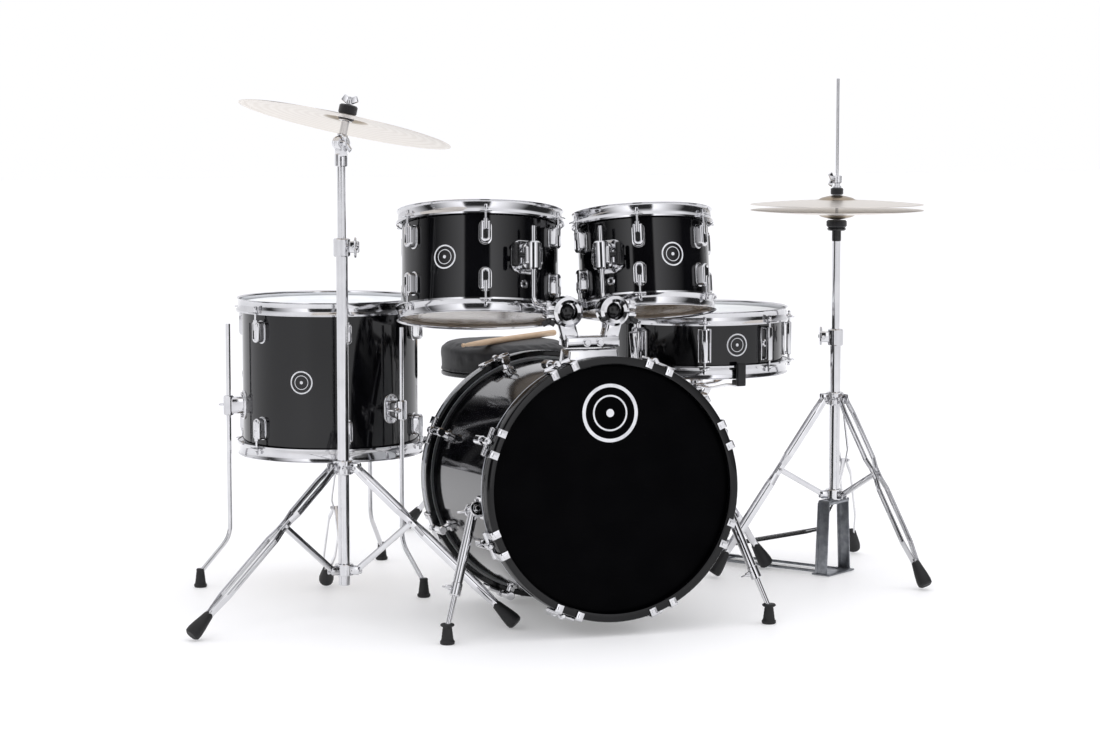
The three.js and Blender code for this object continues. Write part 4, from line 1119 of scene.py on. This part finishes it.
def crash_stand():
    """Mast, sliding collar, three folding legs with their braces, and what stands on them."""
    tilt = pivot("crash_tilt")
    centre = Vector((tilt.x, tilt.y, 0))
    spot = upright(centre)
    collar, lower = pivot("crash_leg_left_fold").z, pivot("crash_brace_left_fold").z
    mast = [column(centre, TUBE, lower - 30, CRASH_TOP),
            ring(TUBE - 1, TUBE + 7, lower - 11, lower + 11, 32, spot, 1.6)]
    mast += height_clamp(centre, TUBE, CRASH_TOP - 6, -18)
    sleeve = [ring(TUBE + 0.3, TUBE + 8, collar - 13, collar + 13, 32, spot, 1.6)]
    for name in ("left", "right", "rear"):
        hinge = pivot(f"crash_leg_{name}_fold")
        turn = degrees(atan2(hinge.y - centre.y, hinge.x - centre.x))
        out = hypot(hinge.x - centre.x, hinge.y - centre.y)
        sleeve += ears(centre, turn, TUBE + 2, out, collar, 5.8, 18)
        mast += ears(centre, turn, TUBE, out, lower, 6.4, 15)
        place, length = leg_frame(centre, turn, (out, collar), CRASH_FOOT)
        body = BODY["crash_leg_" + name]
        piece(f"crash_leg_{name}_strips", leg_strips(place, length, CRASH_JOINT), CHROME, body,
              ["crash_leg_" + name])
        piece(f"crash_leg_{name}_boot", boot(place, length), RUBBER, body)
        foot = pivot(f"crash_brace_{name}_fold")
        mid = place @ Vector((0, 0, CRASH_JOINT))
        across = polar((0, 0), turn + 90, 1, 0)
        brace = [swept(section(8.6, 11, 1), [foot, mid], across),
                 rod(2.6, foot - across * 8, foot + across * 8, 12, 0.5, Z)]
        piece(f"crash_brace_{name}_strip", brace, CHROME, BODY["crash_brace_" + name],
              ["crash_brace_" + name])
    sleeve.append(wing(spot @ turned(262) @ moved(TUBE + 7, 0, collar) @ turned(90, "Y"), 0.8))
    piece("crash_mast_tube", mast, CHROME, BODY["crash_mast"], ["crash_mast"])
    piece("crash_leg_collar", sleeve, CHROME, BODY["crash_collar"], ["crash_collar"])
    crash_top(tilt, centre, spot)


def crash_top(tilt, centre, spot):
    """Upper tube with its fork, the tilting stem, the felts and the cymbal."""
    lean, tip = axis("crash_spin"), axis("crash_tilt")
    upper = [column(centre, UPPER_TUBE, 470, tilt.z - 22)]
    upper.append(ring(UPPER_TUBE - 0.5, UPPER_TUBE + 4, tilt.z - 44, tilt.z - 20, 32, spot, 1.4))
    knuckle = along(tilt, tip, Z)
    for half in (-1, 1):
        upper.append(rod(13.5, tilt + tip * half * 5.6, tilt + tip * half * 12.5, 32, 1.4, Z))
    upper.append(slab(26, 15, 24, 3, along(tilt - Z * 14, Z, tip), 3))
    upper.append(wing(knuckle @ moved(0, 0, -12.5) @ turned(180, "X") @ turned(25), 1.1))
    upper.append(bolt(5, 4, knuckle @ moved(0, 0, 12.5)))
    piece("crash_upper_fork", upper, CHROME, BODY["crash_upper_tube"], ["crash_upper_tube"])
    stem = along(tilt, lean, tip)
    seat, top = CRASH_SEAT / lean.z, CRASH_STEM / lean.z
    shaft = [rod(4, (0, 0, 0), (0, 0, top), 16), ring(3.9, 7.4, 16, seat - 10.5, 28),
             rod(12.5, (-4.8, 0, 0), (4.8, 0, 0), 32, 1, Y),
             ring(0.5, 10.5, 13, 16, 28, edge=0.6), ring(0.4, 13, seat - 10.5, seat - 8.2, 32)]
    shaft.append(wing(moved(0, 0, seat + 21) @ turned(40), 1.0))
    body = BODY["crash_tilter"]
    piece("crash_tilter_stem", shaft, CHROME, body, ["crash_tilter"], stem)
    felts = [ring(3.9, 17.5, seat + 2.4, seat + 20, 32, edge=2.4),
             ring(3.9, 15, seat - 8.2, seat - 1.8, 32, edge=1.6)]
    piece("crash_felts", felts, DARK_FELT, body, (), stem)
    edge = stem @ moved(0, 0, seat - bell_top(*CRASH_DISH[1:]))
    cymbal("crash_cymbal", *CRASH_DISH, edge, 1)


def bell_top(bow, bell):
    """How far the flat round a cymbal's hole stands over its edge."""
    return bow * 0.66 + bell * 0.42


def cymbal(node_name, radius, bow, bell, place, up):
    """A lathed cymbal: thin at the edge, a low bow, and a bell with its hole."""
    rise, start = bell_top(bow, bell), radius * 0.21
    shape = [(radius, 0.2), (radius * 0.93, bow * 0.1), (radius * 0.8, bow * 0.25),
             (radius * 0.65, bow * 0.4), (radius * 0.5, bow * 0.52), (radius * 0.36, bow * 0.61),
             (start * 1.15, bow * 0.67), (start, bow * 0.74), (start * 0.92, bow * 0.9)]
    base = bow * 0.9
    for k in range(1, 7):
        a = k / 6 * pi / 2
        shape.append((start * 0.92 - (start * 0.92 - 6.5) * sin(a) ** 1.4
                      if k < 6 else 6.5, base + (rise - base) * sin(a)))
    over = [(r, z + 0.9 + 0.5 * (1 - r / radius)) for r, z in shape][::-1]
    loop = shape + over + shape[:1]
    part = spun([(r, up * z) for r, z in loop], 128)
    bmesh.ops.recalc_face_normals(part, faces=part.faces)
    metal = bronze_finish("lathed_bronze_" + node_name, place)
    return piece(node_name + "_plate", part, metal, BODY[node_name], [node_name], place, "bronze")


# ---- snare stand ------------------------------------------------------------------------------

SNARE = (177.8, 135)  # radius, and height over the hoops
SNARE_TURNS = evenly(8, -106.3)
SNARE_TUBE_TOP = 320
WIRES, WIRE_STEP, WIRE_LONG = 19, 2, 300


def snare_and_stand():
    """The snare drum with its strainer, butt plate and wires, then the stand below it."""
    radius, tall = SNARE
    place = drum("snare", radius, tall, SNARE_TURNS, (tall / 2,), "bridge", -83.8,
                 [(-60, tall / 2)])
    strainer = out_at(place, -150, radius, tall / 2)
    parts = [pad(7, 34, 62, 5, 2, strainer), slab(14, 16, 44, 4, strainer @ moved(13, 0, 6), 3),
             slab(5, 20, 60, 2, strainer @ moved(22, 0, -4) @ turned(8, "Y")),
             set_at(strainer, rod(6, (8, 0, 32), (8, 0, 46), 20, 1.5))]
    butt = out_at(place, 30, radius, tall / 2)
    parts += [pad(9, 34, 40, 5, 2.5, butt), slab(7, 22, 26, 2, butt @ moved(11, 0, -14))]
    body = BODY["snare_shell"]
    piece("snare_strainer", parts, CHROME, body)
    bed, end = [], WIRE_LONG / 2
    for k in range(WIRES):
        y = (k - WIRES // 2) * WIRE_STEP
        bed.append(pipe(0.9, [(-end, y, -3.4), (end, y, -3.4)], 1, 6, Y))
    for half in (-1, 1):
        bed.append(slab(12, 44, 2, 0.5, moved(half * end, 0, -3.4)))
    piece("snare_wires", bed, CHROME, body, (), place @ moved(0, 0, ABOVE + 1.4) @ turned(30))
    snare_stand(middle("snare_batter_head"), radius)


def snare_stand(centre, radius):
    """Tube and tripod, the stem with its tilting knuckle, and the three-armed basket."""
    spot = upright(centre)
    knuckle = pivot("snare_tilt")
    tube = [column(centre, TUBE, 44, SNARE_TUBE_TOP)]
    tube += height_clamp(centre, TUBE, SNARE_TUBE_TOP - 20, -100)
    piece("snare_stand_tube", tube, CHROME, BODY["snare_stand_base"], ["snare_stand_base"])
    standing_tripod("snare_stand", "snare_stand_base", centre, TUBE, 225, 68, 155,
                    evenly(3, -4.3), 0.5)
    stem = [column(centre, 8, 160, knuckle.z - 14)]
    for half in (-1, 1):
        stem.append(rod(13, knuckle + X * half * 6.6, knuckle + X * half * 12.6, 32, 1.4, Z))
    stem.append(slab(26, 18, 22, 3, Matrix.Translation(knuckle - Z * 16), 3))
    stem.append(wing(Matrix.Translation(knuckle + X * 12.6) @ turned(90, "Y"), 1.1))
    piece("snare_stand_stem_tube", stem, CHROME, BODY["snare_stand_stem"], ["snare_stand_stem"])
    basket, pads = [], []
    basket.append(rod(12, knuckle - X * 5.8, knuckle + X * 5.8, 32, 1, Z))
    basket.append(column(centre, 14, knuckle.z + 12, knuckle.z + 34, 32, 2))
    basket.append(column(centre, 21, knuckle.z + 17, knuckle.z + 27, 32, 2))
    hold = radius + COLLAR + HOOP_WALL
    bottom = low("snare_bottom_hoop").z
    for turn in evenly(3, -84):
        flat = polar((0, 0), turn + 90, 1, 0)
        line = [polar(centre, turn, r, z) for r, z in
                ((10, knuckle.z + 22), (70, knuckle.z + 22), (150, bottom - 14),
                 (hold + 6, bottom - 14), (hold + 8, bottom + 18))]
        basket.append(swept(section(18, 4, 1), eased(line, 10), flat))
        grip = out_at(spot, turn, hold - 9, bottom)
        pads.append(slab(26, 19, 11, 2.5, grip @ moved(9, 0, -8), 3))
        pads.append(slab(10, 19, 46, 2.5, grip @ moved(18, 0, 9), 3))
    piece("snare_basket_arms", basket, CHROME, BODY["snare_basket"], ["snare_basket"])
    piece("snare_basket_pads", pads, RUBBER, BODY["snare_basket"])


# ---- hi-hat -------------------------------------------------------------------------------------

HAT_TOP, HAT_FOOT = 505, 258  # the lower tube's mouth, and how far out the feet stand
HAT_COLLAR, HAT_LOWER = 367, 166  # heights of the two rings of the legs
HAT_TURNS = (175, 291, 56)
HAT_HEADING = 124.6  # which way the heel of the pedal points
HAT_BOARD = 300  # from the tube to the heel
HAT_ROD_TOP = 1027
POST_OUT, POST_IN, POST_TALL = 42, 9, 148  # a post's place, its lean across and its height


def hihat_stand():
    """Tube, pedal frame and tripod, then what slides in the tube and the pedal."""
    centre = middle("hihat_top_cymbal")
    spot = upright(centre)
    body = BODY["hihat_stand"]
    heading = spot @ turned(HAT_HEADING)
    posts = []
    for half in (-1, 1):
        lean = Matrix.Rotation(half * atan2(POST_IN, POST_TALL), 4, "X")
        side = heading @ moved(0, half * POST_OUT, 78) @ lean
        posts.append(slab(26, 3.4, POST_TALL + 2, 1.2, side))
        posts.append(slab(6, 6, POST_TALL, 1.5, side @ moved(12, 0, 0)))
    piece("hihat_frame_posts", posts, GREY_STEEL, body, slot="grey_steel")
    tube = [column(centre, TUBE, 146, HAT_TOP)] + height_clamp(centre, TUBE, HAT_TOP - 6, 165)
    piece("hihat_frame", tube, CHROME, body, ["hihat_stand"])
    bridge = slab(30, 78, 9, 3, heading @ moved(0, 0, POST_TALL + 4), 3)
    grey = [slab(44, 100, 4, 1.6, heading @ moved(0, 0, 3)), bridge]
    for half in (-1, 1):
        grey.append(pipe(3, [heading @ Vector((6, half * 28, 5)),
                             heading @ Vector((HAT_BOARD, half * 28, 5))], 1, 10))
        grey.append(slab(20, 7, 34, 2, heading @ moved(HAT_BOARD, half * 46.5, 18)))
    grey.append(slab(70, 102, 4.6, 1.8, heading @ moved(HAT_BOARD, 0, 2.6)))
    grey.append(rod(2.2, heading @ Vector((HAT_BOARD, -50, 24)),
                    heading @ Vector((HAT_BOARD, 50, 24)), 12))
    piece("hihat_base_plates", grey, GREY_STEEL, body, slot="grey_steel")
    standing_tripod("hihat_stand", "hihat_stand", centre, TUBE, HAT_COLLAR, HAT_LOWER, HAT_FOOT,
                    HAT_TURNS)
    hihat_upper(centre, spot)
    hihat_pedal(heading)


def hihat_upper(centre, spot):
    """Upper tube with its seat, the pull bar with its clutch, and the two cymbals."""
    lower_edge, upper_edge = high("hihat_bottom_cymbal").z, low("hihat_top_cymbal").z
    rise = bell_top(*HAT_DISH[1:])
    seat = lower_edge - rise - 1.9
    tube = column(centre, 8.2, 380, seat - 24)
    piece("hihat_upper_pipe", tube, CHROME, BODY["hihat_upper_tube"], ["hihat_upper_tube"])
    cup = [ring(3.6, 9.4, seat - 44, seat - 20, 32, spot, 1.4),
           ring(3.6, 19, seat - 22, seat - 15, 36, spot, 2.4)]
    piece("hihat_seat_cup", cup, NYLON, BODY["hihat_upper_tube"])
    piece("hihat_seat_felt", ring(3.6, 21, seat - 15, seat - 0.4, 36, spot, 3), DARK_FELT,
          BODY["hihat_upper_tube"])
    over = upper_edge + rise + 1.6
    body = BODY["hihat_pull_rod"]
    bar = [column(centre, 3, 168, HAT_ROD_TOP, 16),
           ring(2.9, 6.2, over - 14, over + 40, 28, spot),
           ring(2.9, 9, over + 15, over + 19, 28, spot),
           ring(2.9, 10, over + 24, over + 40, 28, spot, 1.6),
           wing(out_at(spot, 200, 9, over + 32) @ turned(90, "Y"), 0.85)]
    piece("hihat_pull_bar", bar, CHROME, body, ["hihat_pull_rod"])
    felts = [ring(6.3, 13, over + 0.4, over + 14.6, 32, spot, 2.2),
             ring(6.3, 13, over - 12, over - 2.4, 32, spot, 2)]
    piece("hihat_clutch_felts", felts, DARK_FELT, body)
    cymbal("hihat_bottom_cymbal", *HAT_DISH, spot @ moved(0, 0, lower_edge), -1)
    cymbal("hihat_top_cymbal", *HAT_DISH, spot @ moved(0, 0, upper_edge), 1)


HEEL, TOE_IN = 24, 34  # height of a pedal's heel pin, and how far its toe stops short
RIB_STEP = 16


def pedal_board(heading, length, wide, toe_z, name, body, node_name, finish_used):
    """A cast pedal board with raised ribs, on its heel hinge."""
    heel = heading @ Vector((length, 0, HEEL))
    toe = heading @ Vector((TOE_IN, 0, toe_z))
    across = heading.to_3x3() @ Y
    place = along(heel, toe - heel, across)
    reach = (toe - heel).length
    plate = slab(wide, 5, reach - 22, 2.2, place @ moved(0, 0, reach / 2 + 5), 3)
    up = -1 if (place.to_3x3() @ Y).z < 0 else 1
    ribs = [slab(wide - 26, 2.4, 4, 0.9, place @ moved(0, up * 3, 34 + k * RIB_STEP))
            for k in range(int((reach - 60) / RIB_STEP))]
    border = [slab(3.4, 3, reach - 34, 1, place @ moved(half * (wide / 2 - 7), up * 3,
                                                        reach / 2 + 5)) for half in (-1, 1)]
    hinge_tube = rod(5, heel - across * (wide / 2 - 12), heel + across * (wide / 2 - 12), 20)
    web = slab(wide - 26, 5, 18, 1, place @ moved(0, 0, 8))
    return piece(name, [plate, web, hinge_tube] + ribs + border, finish_used, body, [node_name])


def chain(start, end, links):
    """A short roller chain hanging between two points."""
    parts = []
    for i in range(links):
        a = start.lerp(end, i / links)
        b = start.lerp(end, (i + 1) / links)
        place = along((a + b) / 2, b - a, X)
        for half in (-1, 1):
            parts.append(slab(1.2, 6.4, (b - a).length * 1.12, 0.5,
                              place @ moved(half * 3.2, 0, 0), 1))
        parts.append(rod(2, place @ Vector((-3, 0, 0)), place @ Vector((3, 0, 0)), 10, 0.3, Z))
    return parts


def hihat_pedal(heading):
    """The hi-hat's board, and the chain from its toe to the pull bar."""
    body = BODY["hihat_footboard"]
    pedal_board(heading, HAT_BOARD, 84, 88, "hihat_board", body, "hihat_footboard", NYLON)
    toe = heading @ Vector((TOE_IN, 0, 92))
    hang = heading @ Vector((4, 0, 148))
    piece("hihat_chain", chain(toe, hang, 7), NYLON, BODY["hihat_pull_rod"])


# ---- throne ----------------------------------------------------------------------------------


THRONE_TUBE, THRONE_TOP = 12, 330  # radius and mouth of the lower tube
SEAT_TALL, SEAT_BOARD = 70, 143  # the pad's height with its board, and the board's radius
VOXEL, PRESSURE, CAP, FRAMES = 5.5, 4, 4.0, 20  # the cushion's simulation, with the cap in mm
REST_BAND = 6  # this much of the cushion's foot stays flat on the board


def throne():
    """Tube and tripod, the spindle under the seat, its board and its cushion."""
    centre = pivot("throne_spin")
    spot = upright(centre)
    base = [column(centre, THRONE_TUBE, 70, THRONE_TOP)]
    base += height_clamp(centre, THRONE_TUBE, THRONE_TOP - 6, 40)
    piece("throne_tube", base, CHROME, BODY["throne_base"], ["throne_base"])
    standing_tripod("throne", "throne_base", centre, THRONE_TUBE, 250, 90, 230, evenly(3, 30),
                    0.5)
    body = BODY["throne_seat"]
    top = high("throne_seat").z
    bottom = top - SEAT_TALL
    under = [column(centre, 9, 150, bottom - 4), column(centre, 15, bottom - 30, bottom, 32, 2),
             ring(0.5, 42, bottom - 8, bottom - 4, 48, spot, 1)]
    for turn in evenly(4, 45):
        under.append(bolt(4.5, 4, out_at(spot, turn, 32, bottom - 8) @ turned(180, "X")))
    piece("throne_seat_hardware", under, CHROME, body)
    board = ring(0.5, SEAT_BOARD, bottom - 4, bottom + 5, 96, spot, 2)
    piece("throne_seat_board", board, NYLON, body)
    seat_cushion(centre, bottom + 5, top, body)


def seat_cushion(centre, base, top, body):
    """The upholstered cushion: a crowned round pad, swelled by a cloth simulation."""
    spot = upright(centre)
    line = [(0, base), (138, base), (145.5, base + 4), (146.5, top - 16), (142, top - 9),
            (126, top - 3.4), (80, top - 1.2), (0, top - 0.6)]
    made = piece("throne_cushion", spun(line, 96, spot), VINYL, body, ["throne_seat"])
    rest_body = made.parent
    made.parent = None
    swell(made)
    made.parent = rest_body


def swell(made):
    """Remeshes a pad, blows it up gently as cloth, limits how far it moves, and smooths it."""
    bpy.context.view_layer.objects.active = made
    made.select_set(True)
    remesh = made.modifiers.new("remesh", "REMESH")
    remesh.mode, remesh.voxel_size = "VOXEL", VOXEL * MM
    bpy.ops.object.modifier_apply(modifier=remesh.name)
    rest = [v.co.copy() for v in made.data.vertices]
    cloth = made.modifiers.new("cloth", "CLOTH")
    cloth.settings.use_pressure = True
    cloth.settings.uniform_pressure_force = PRESSURE
    cloth.settings.effector_weights.gravity = 0
    cloth.point_cache.frame_start, cloth.point_cache.frame_end = 1, FRAMES
    for number in range(1, FRAMES + 1):
        scene.frame_set(number)
    shape = made.evaluated_get(bpy.context.evaluated_depsgraph_get()).data
    after = [v.co.copy() for v in shape.vertices]
    made.modifiers.remove(cloth)
    scene.frame_set(1)
    floor = min(p.z for p in rest) + REST_BAND * MM
    for v, a, b in zip(made.data.vertices, rest, after):
        step = b - a
        if step.length > CAP * MM:
            step = step.normalized() * CAP * MM
        v.co = a + step if a.z > floor else a
    smooth = made.modifiers.new("smooth", "SUBSURF")
    smooth.levels = smooth.render_levels = 1
    bpy.ops.object.modifier_apply(modifier=smooth.name)
    for face in made.data.polygons:
        face.use_smooth = True
    made.select_set(False)


def drumstick():
    """A hickory stick lying across the seat: a straight shaft, a taper and an oval tip."""
    top = high("throne_seat").z
    centre = pivot("throne_spin")
    end = Vector((centre.x - 150, centre.y - 172, top + 8.5))
    start = Vector((centre.x + 148, centre.y + 84, top + 8.5))
    place = along(start, end - start)
    length = (end - start).length
    line = [(0, 0), (5, 0.4), (6.6, 2.4), (7, 6), (7, length - 110), (6.2, length - 70),
            (4.4, length - 26), (2.9, length - 12), (2.9, length - 10), (4.3, length - 7),
            (4.4, length - 3.6), (3, length - 0.8), (0, length)]
    piece("drumstick", spun(line, 24, place), HICKORY, BODY["throne_seat"])


# ---- bass pedal ----------------------------------------------------------------------------------


BEATER_LEAN, BEATER_LONG = 42, 165  # how far the shaft leans back at rest, and its length
COILS, COIL_STEP, COIL_TURN = 90, 1.15, 0.9  # points along the spring, their rise and turn


def bass_pedal():
    """Base plate, posts, clamp, spring, board, beater and chain."""
    axle = pivot("pedal_beater_swing")
    heel = pivot("pedal_press")
    body = BODY["pedal_frame"]
    x, post_y = axle.x, axle.y
    plate_low, plate_high = low("pedal_frame").y, high("pedal_frame").y
    parts = [slab(88, plate_high - plate_low - 6, 4.4, 1.6,
                  moved(x, (plate_low + plate_high) / 2, 2.8))]
    for half in (-1, 1):
        parts += [slab(9, 24, axle.z + 4, 3, moved(x + half * 53, post_y, axle.z / 2 + 3), 3),
                  rod(14, (x + half * 48, post_y, axle.z), (x + half * 58, post_y, axle.z), 32,
                      2, Z),
                  slab(8, 20, 32, 2.4, moved(x + half * 43, heel.y, 18))]
    grip = high("bass_rear_hoop").y
    parts += [slab(114, 36, 10, 3, moved(x, post_y, 7), 3),
              slab(36, 40, 8, 2, moved(x, grip - 12, 10)),
              slab(36, 10, 22, 2, moved(x, grip + 8, 18)),
              rod(2.2, (x - 46, heel.y, heel.z), (x + 46, heel.y, heel.z), 12, 0.4, Z),
              wing(moved(x, grip + 24, 14), 0.9)]
    piece("pedal_frame_casting", parts, GREY_STEEL, body, ["pedal_frame"], slot="grey_steel")
    spring = [(x + 68 + 5 * cos(k * COIL_TURN), post_y + 5 * sin(k * COIL_TURN),
               60 + k * COIL_STEP) for k in range(COILS)]
    piece("pedal_spring", swept(disc(1, 8), spring), CHROME, body)
    heading = Matrix.Translation((x, heel.y - 300, 0)) @ turned(90)
    pedal_board(heading, 300, 76, 112, "pedal_board", BODY["pedal_footboard"], "pedal_footboard",
                GREY_STEEL)
    beater = BODY["pedal_beater"]
    lean = radians(BEATER_LEAN)
    up = Vector((0, sin(lean), cos(lean)))
    tip = axle + up * BEATER_LONG
    face = Vector((0, -cos(lean), sin(lean)))
    metal = [rod(5, axle - X * 66, axle + X * 70, 24, 0.7, Z), rod(3, axle, tip, 16),
             slab(20, 26, 26, 4, along(axle, up), 3), ring(5, 13, 26, 34, 28, along(axle, up), 1),
             slab(5, 10, 62, 1.6, moved(x + 68, post_y, axle.z - 22), 3)]
    piece("pedal_beater_shaft", metal, CHROME, beater, ["pedal_beater"])
    drive = ring(12, 21, x - 9, x + 9, 32, along(Vector((0, post_y, axle.z)), X), 2)
    piece("pedal_cam", drive, GREY_STEEL, beater, slot="grey_steel")
    piece("pedal_beater_head", rod(20.5, tip - face * 21, tip + face * 21, 40, 5, X), GREY_FELT,
          beater)
    links = chain(Vector((x, post_y + 18, axle.z)), Vector((x, post_y + 30, 122)), 9)
    piece("pedal_chain", links, GREY_STEEL, beater)


# ---- studio ---------------------------------------------------------------------------------------


def stage_floor():
    """A wide pale floor with a little glow of its own, so that it meets the room without a line."""
    part = bmesh.new()
    bmesh.ops.create_grid(part, x_segments=2, y_segments=2, size=30)
    mesh = bpy.data.meshes.new("studio_floor")
    part.to_mesh(mesh)
    part.free()
    material, tree, surface, where = finish("white_painted_floor", "#dfdfe0", 0.55,
                                            Emission_Color=linear("#ffffff"),
                                            Emission_Strength=0.24)
    relief(tree, surface, noise(tree, where, 300), 0.1, 0.05)
    mesh.materials.append(material)
    floor = bpy.data.objects.new("studio_floor", mesh)
    scene.collection.objects.link(floor)


def lamp(name, place, aim, size, power, tall=None):
    data = bpy.data.lights.new(name, "AREA")
    data.energy, data.size = power, size
    if tall:
        data.shape, data.size_y = "RECTANGLE", tall
    made = bpy.data.objects.new(name, data)
    made.location = place
    made.rotation_euler = (Vector(aim) - Vector(place)).to_track_quat("-Z", "Y").to_euler()
    made.visible_glossy = False
    scene.collection.objects.link(made)


def between(tree, value, start, end):
    """Nought before start degrees and one after end degrees; falls instead where end is less."""
    low_end, high_end = sorted((start, end))
    rising = start < end
    return node(tree, "ShaderNodeMapRange",
                {"Value": value, "From Min": radians(low_end), "From Max": radians(high_end),
                 "To Min": 0.0 if rising else 1.0, "To Max": 1.0 if rising else 0.0}
                ).outputs["Result"]


def soft_box(tree, turn, sharp, faint):
    """A tall soft box, bright and sharp at one edge and faint at the other."""
    rim = sharp + 3 if faint < sharp else sharp - 3
    edge = between(tree, turn, rim, sharp)
    fall = between(tree, turn, faint, sharp)
    return node(tree, "ShaderNodeMath", {0: edge, 1: fall}, operation="MULTIPLY").outputs[0]


def mixed(tree, share, first, second):
    """A blend of two light levels, each a grey strength or another blend."""
    made = node(tree, "ShaderNodeMix", {"Factor": share}, data_type="RGBA")
    for key, value in (("A", first), ("B", second)):
        if isinstance(value, bpy.types.NodeSocket):
            tree.links.new(value, made.inputs[key])
        else:
            made.inputs[key].default_value = (value, value, value * 1.03, 1)
    return made.outputs["Result"]


def studio():
    """White room: even light on the floor, and soft boxes either side that the gloss shows."""
    scene.view_settings.view_transform = "Standard"
    world = bpy.data.worlds.new("studio")
    scene.world = world
    world.use_nodes = True
    tree = world.node_tree
    back = tree.nodes["Background"]
    way = node(tree, "ShaderNodeTexCoord").outputs["Generated"]
    parts = node(tree, "ShaderNodeSeparateXYZ", {"Vector": way})
    behind = node(tree, "ShaderNodeMapRange", {"Value": parts.outputs["Y"], "From Min": 0.15,
                                               "From Max": 0.6}).outputs["Result"]
    above = node(tree, "ShaderNodeMapRange", {"Value": parts.outputs["Z"], "From Min": 0.45,
                                              "From Max": 0.8}).outputs["Result"]
    ahead = node(tree, "ShaderNodeMath", {0: parts.outputs["Y"], 1: -1.0}, operation="MULTIPLY")
    turn = node(tree, "ShaderNodeMath", {0: parts.outputs["X"], 1: ahead.outputs[0]},
                operation="ARCTAN2").outputs[0]
    shown = mixed(tree, behind, 0.03, 0.9)
    shown = mixed(tree, soft_box(tree, turn, -42, -92), shown, 1.7)
    shown = mixed(tree, soft_box(tree, turn, 0, 56), shown, 1.7)
    shown = mixed(tree, above, shown, 1.1)
    rays = node(tree, "ShaderNodeLightPath").outputs
    lit = mixed(tree, rays["Is Diffuse Ray"], shown, 1.08)
    seen = mixed(tree, rays["Is Camera Ray"], lit, 1.0)
    tree.links.new(seen, back.inputs["Color"])
    back.inputs["Strength"].default_value = 1.0
    lamp("key", (-2.8, -3.0, 2.6), (0, 0, 0.5), 1.2, 16, 2.0)
    lamp("fill", (3.2, -2.6, 2.6), (0, 0, 0.5), 1.0, 10, 2.0)
    lamp("top", (0.2, -0.2, 3.6), (0, 0, 0.3), 3.0, 26)


def camera():
    data = bpy.data.cameras.new("camera")
    data.lens, data.sensor_width = 88.36, 36
    data.clip_start, data.clip_end = 0.1, 100
    made = bpy.data.objects.new("camera", data)
    made.location = kit(-1646, -4622.2, 973.4) * MM
    made.rotation_euler = (radians(90 - 5.55), 0, radians(-18.22))
    scene.collection.objects.link(made)
    scene.camera = made


camera()
studio()
stage_floor()
bass_drum()
tom_holder()
mounted_tom("tom12", -132.7, [(-73, 56)])
mounted_tom("tom10", -83.9, [(-140.5, 52)])
floor_tom()
snare_and_stand()
crash_stand()
hihat_stand()
throne()
drumstick()
bass_pedal()
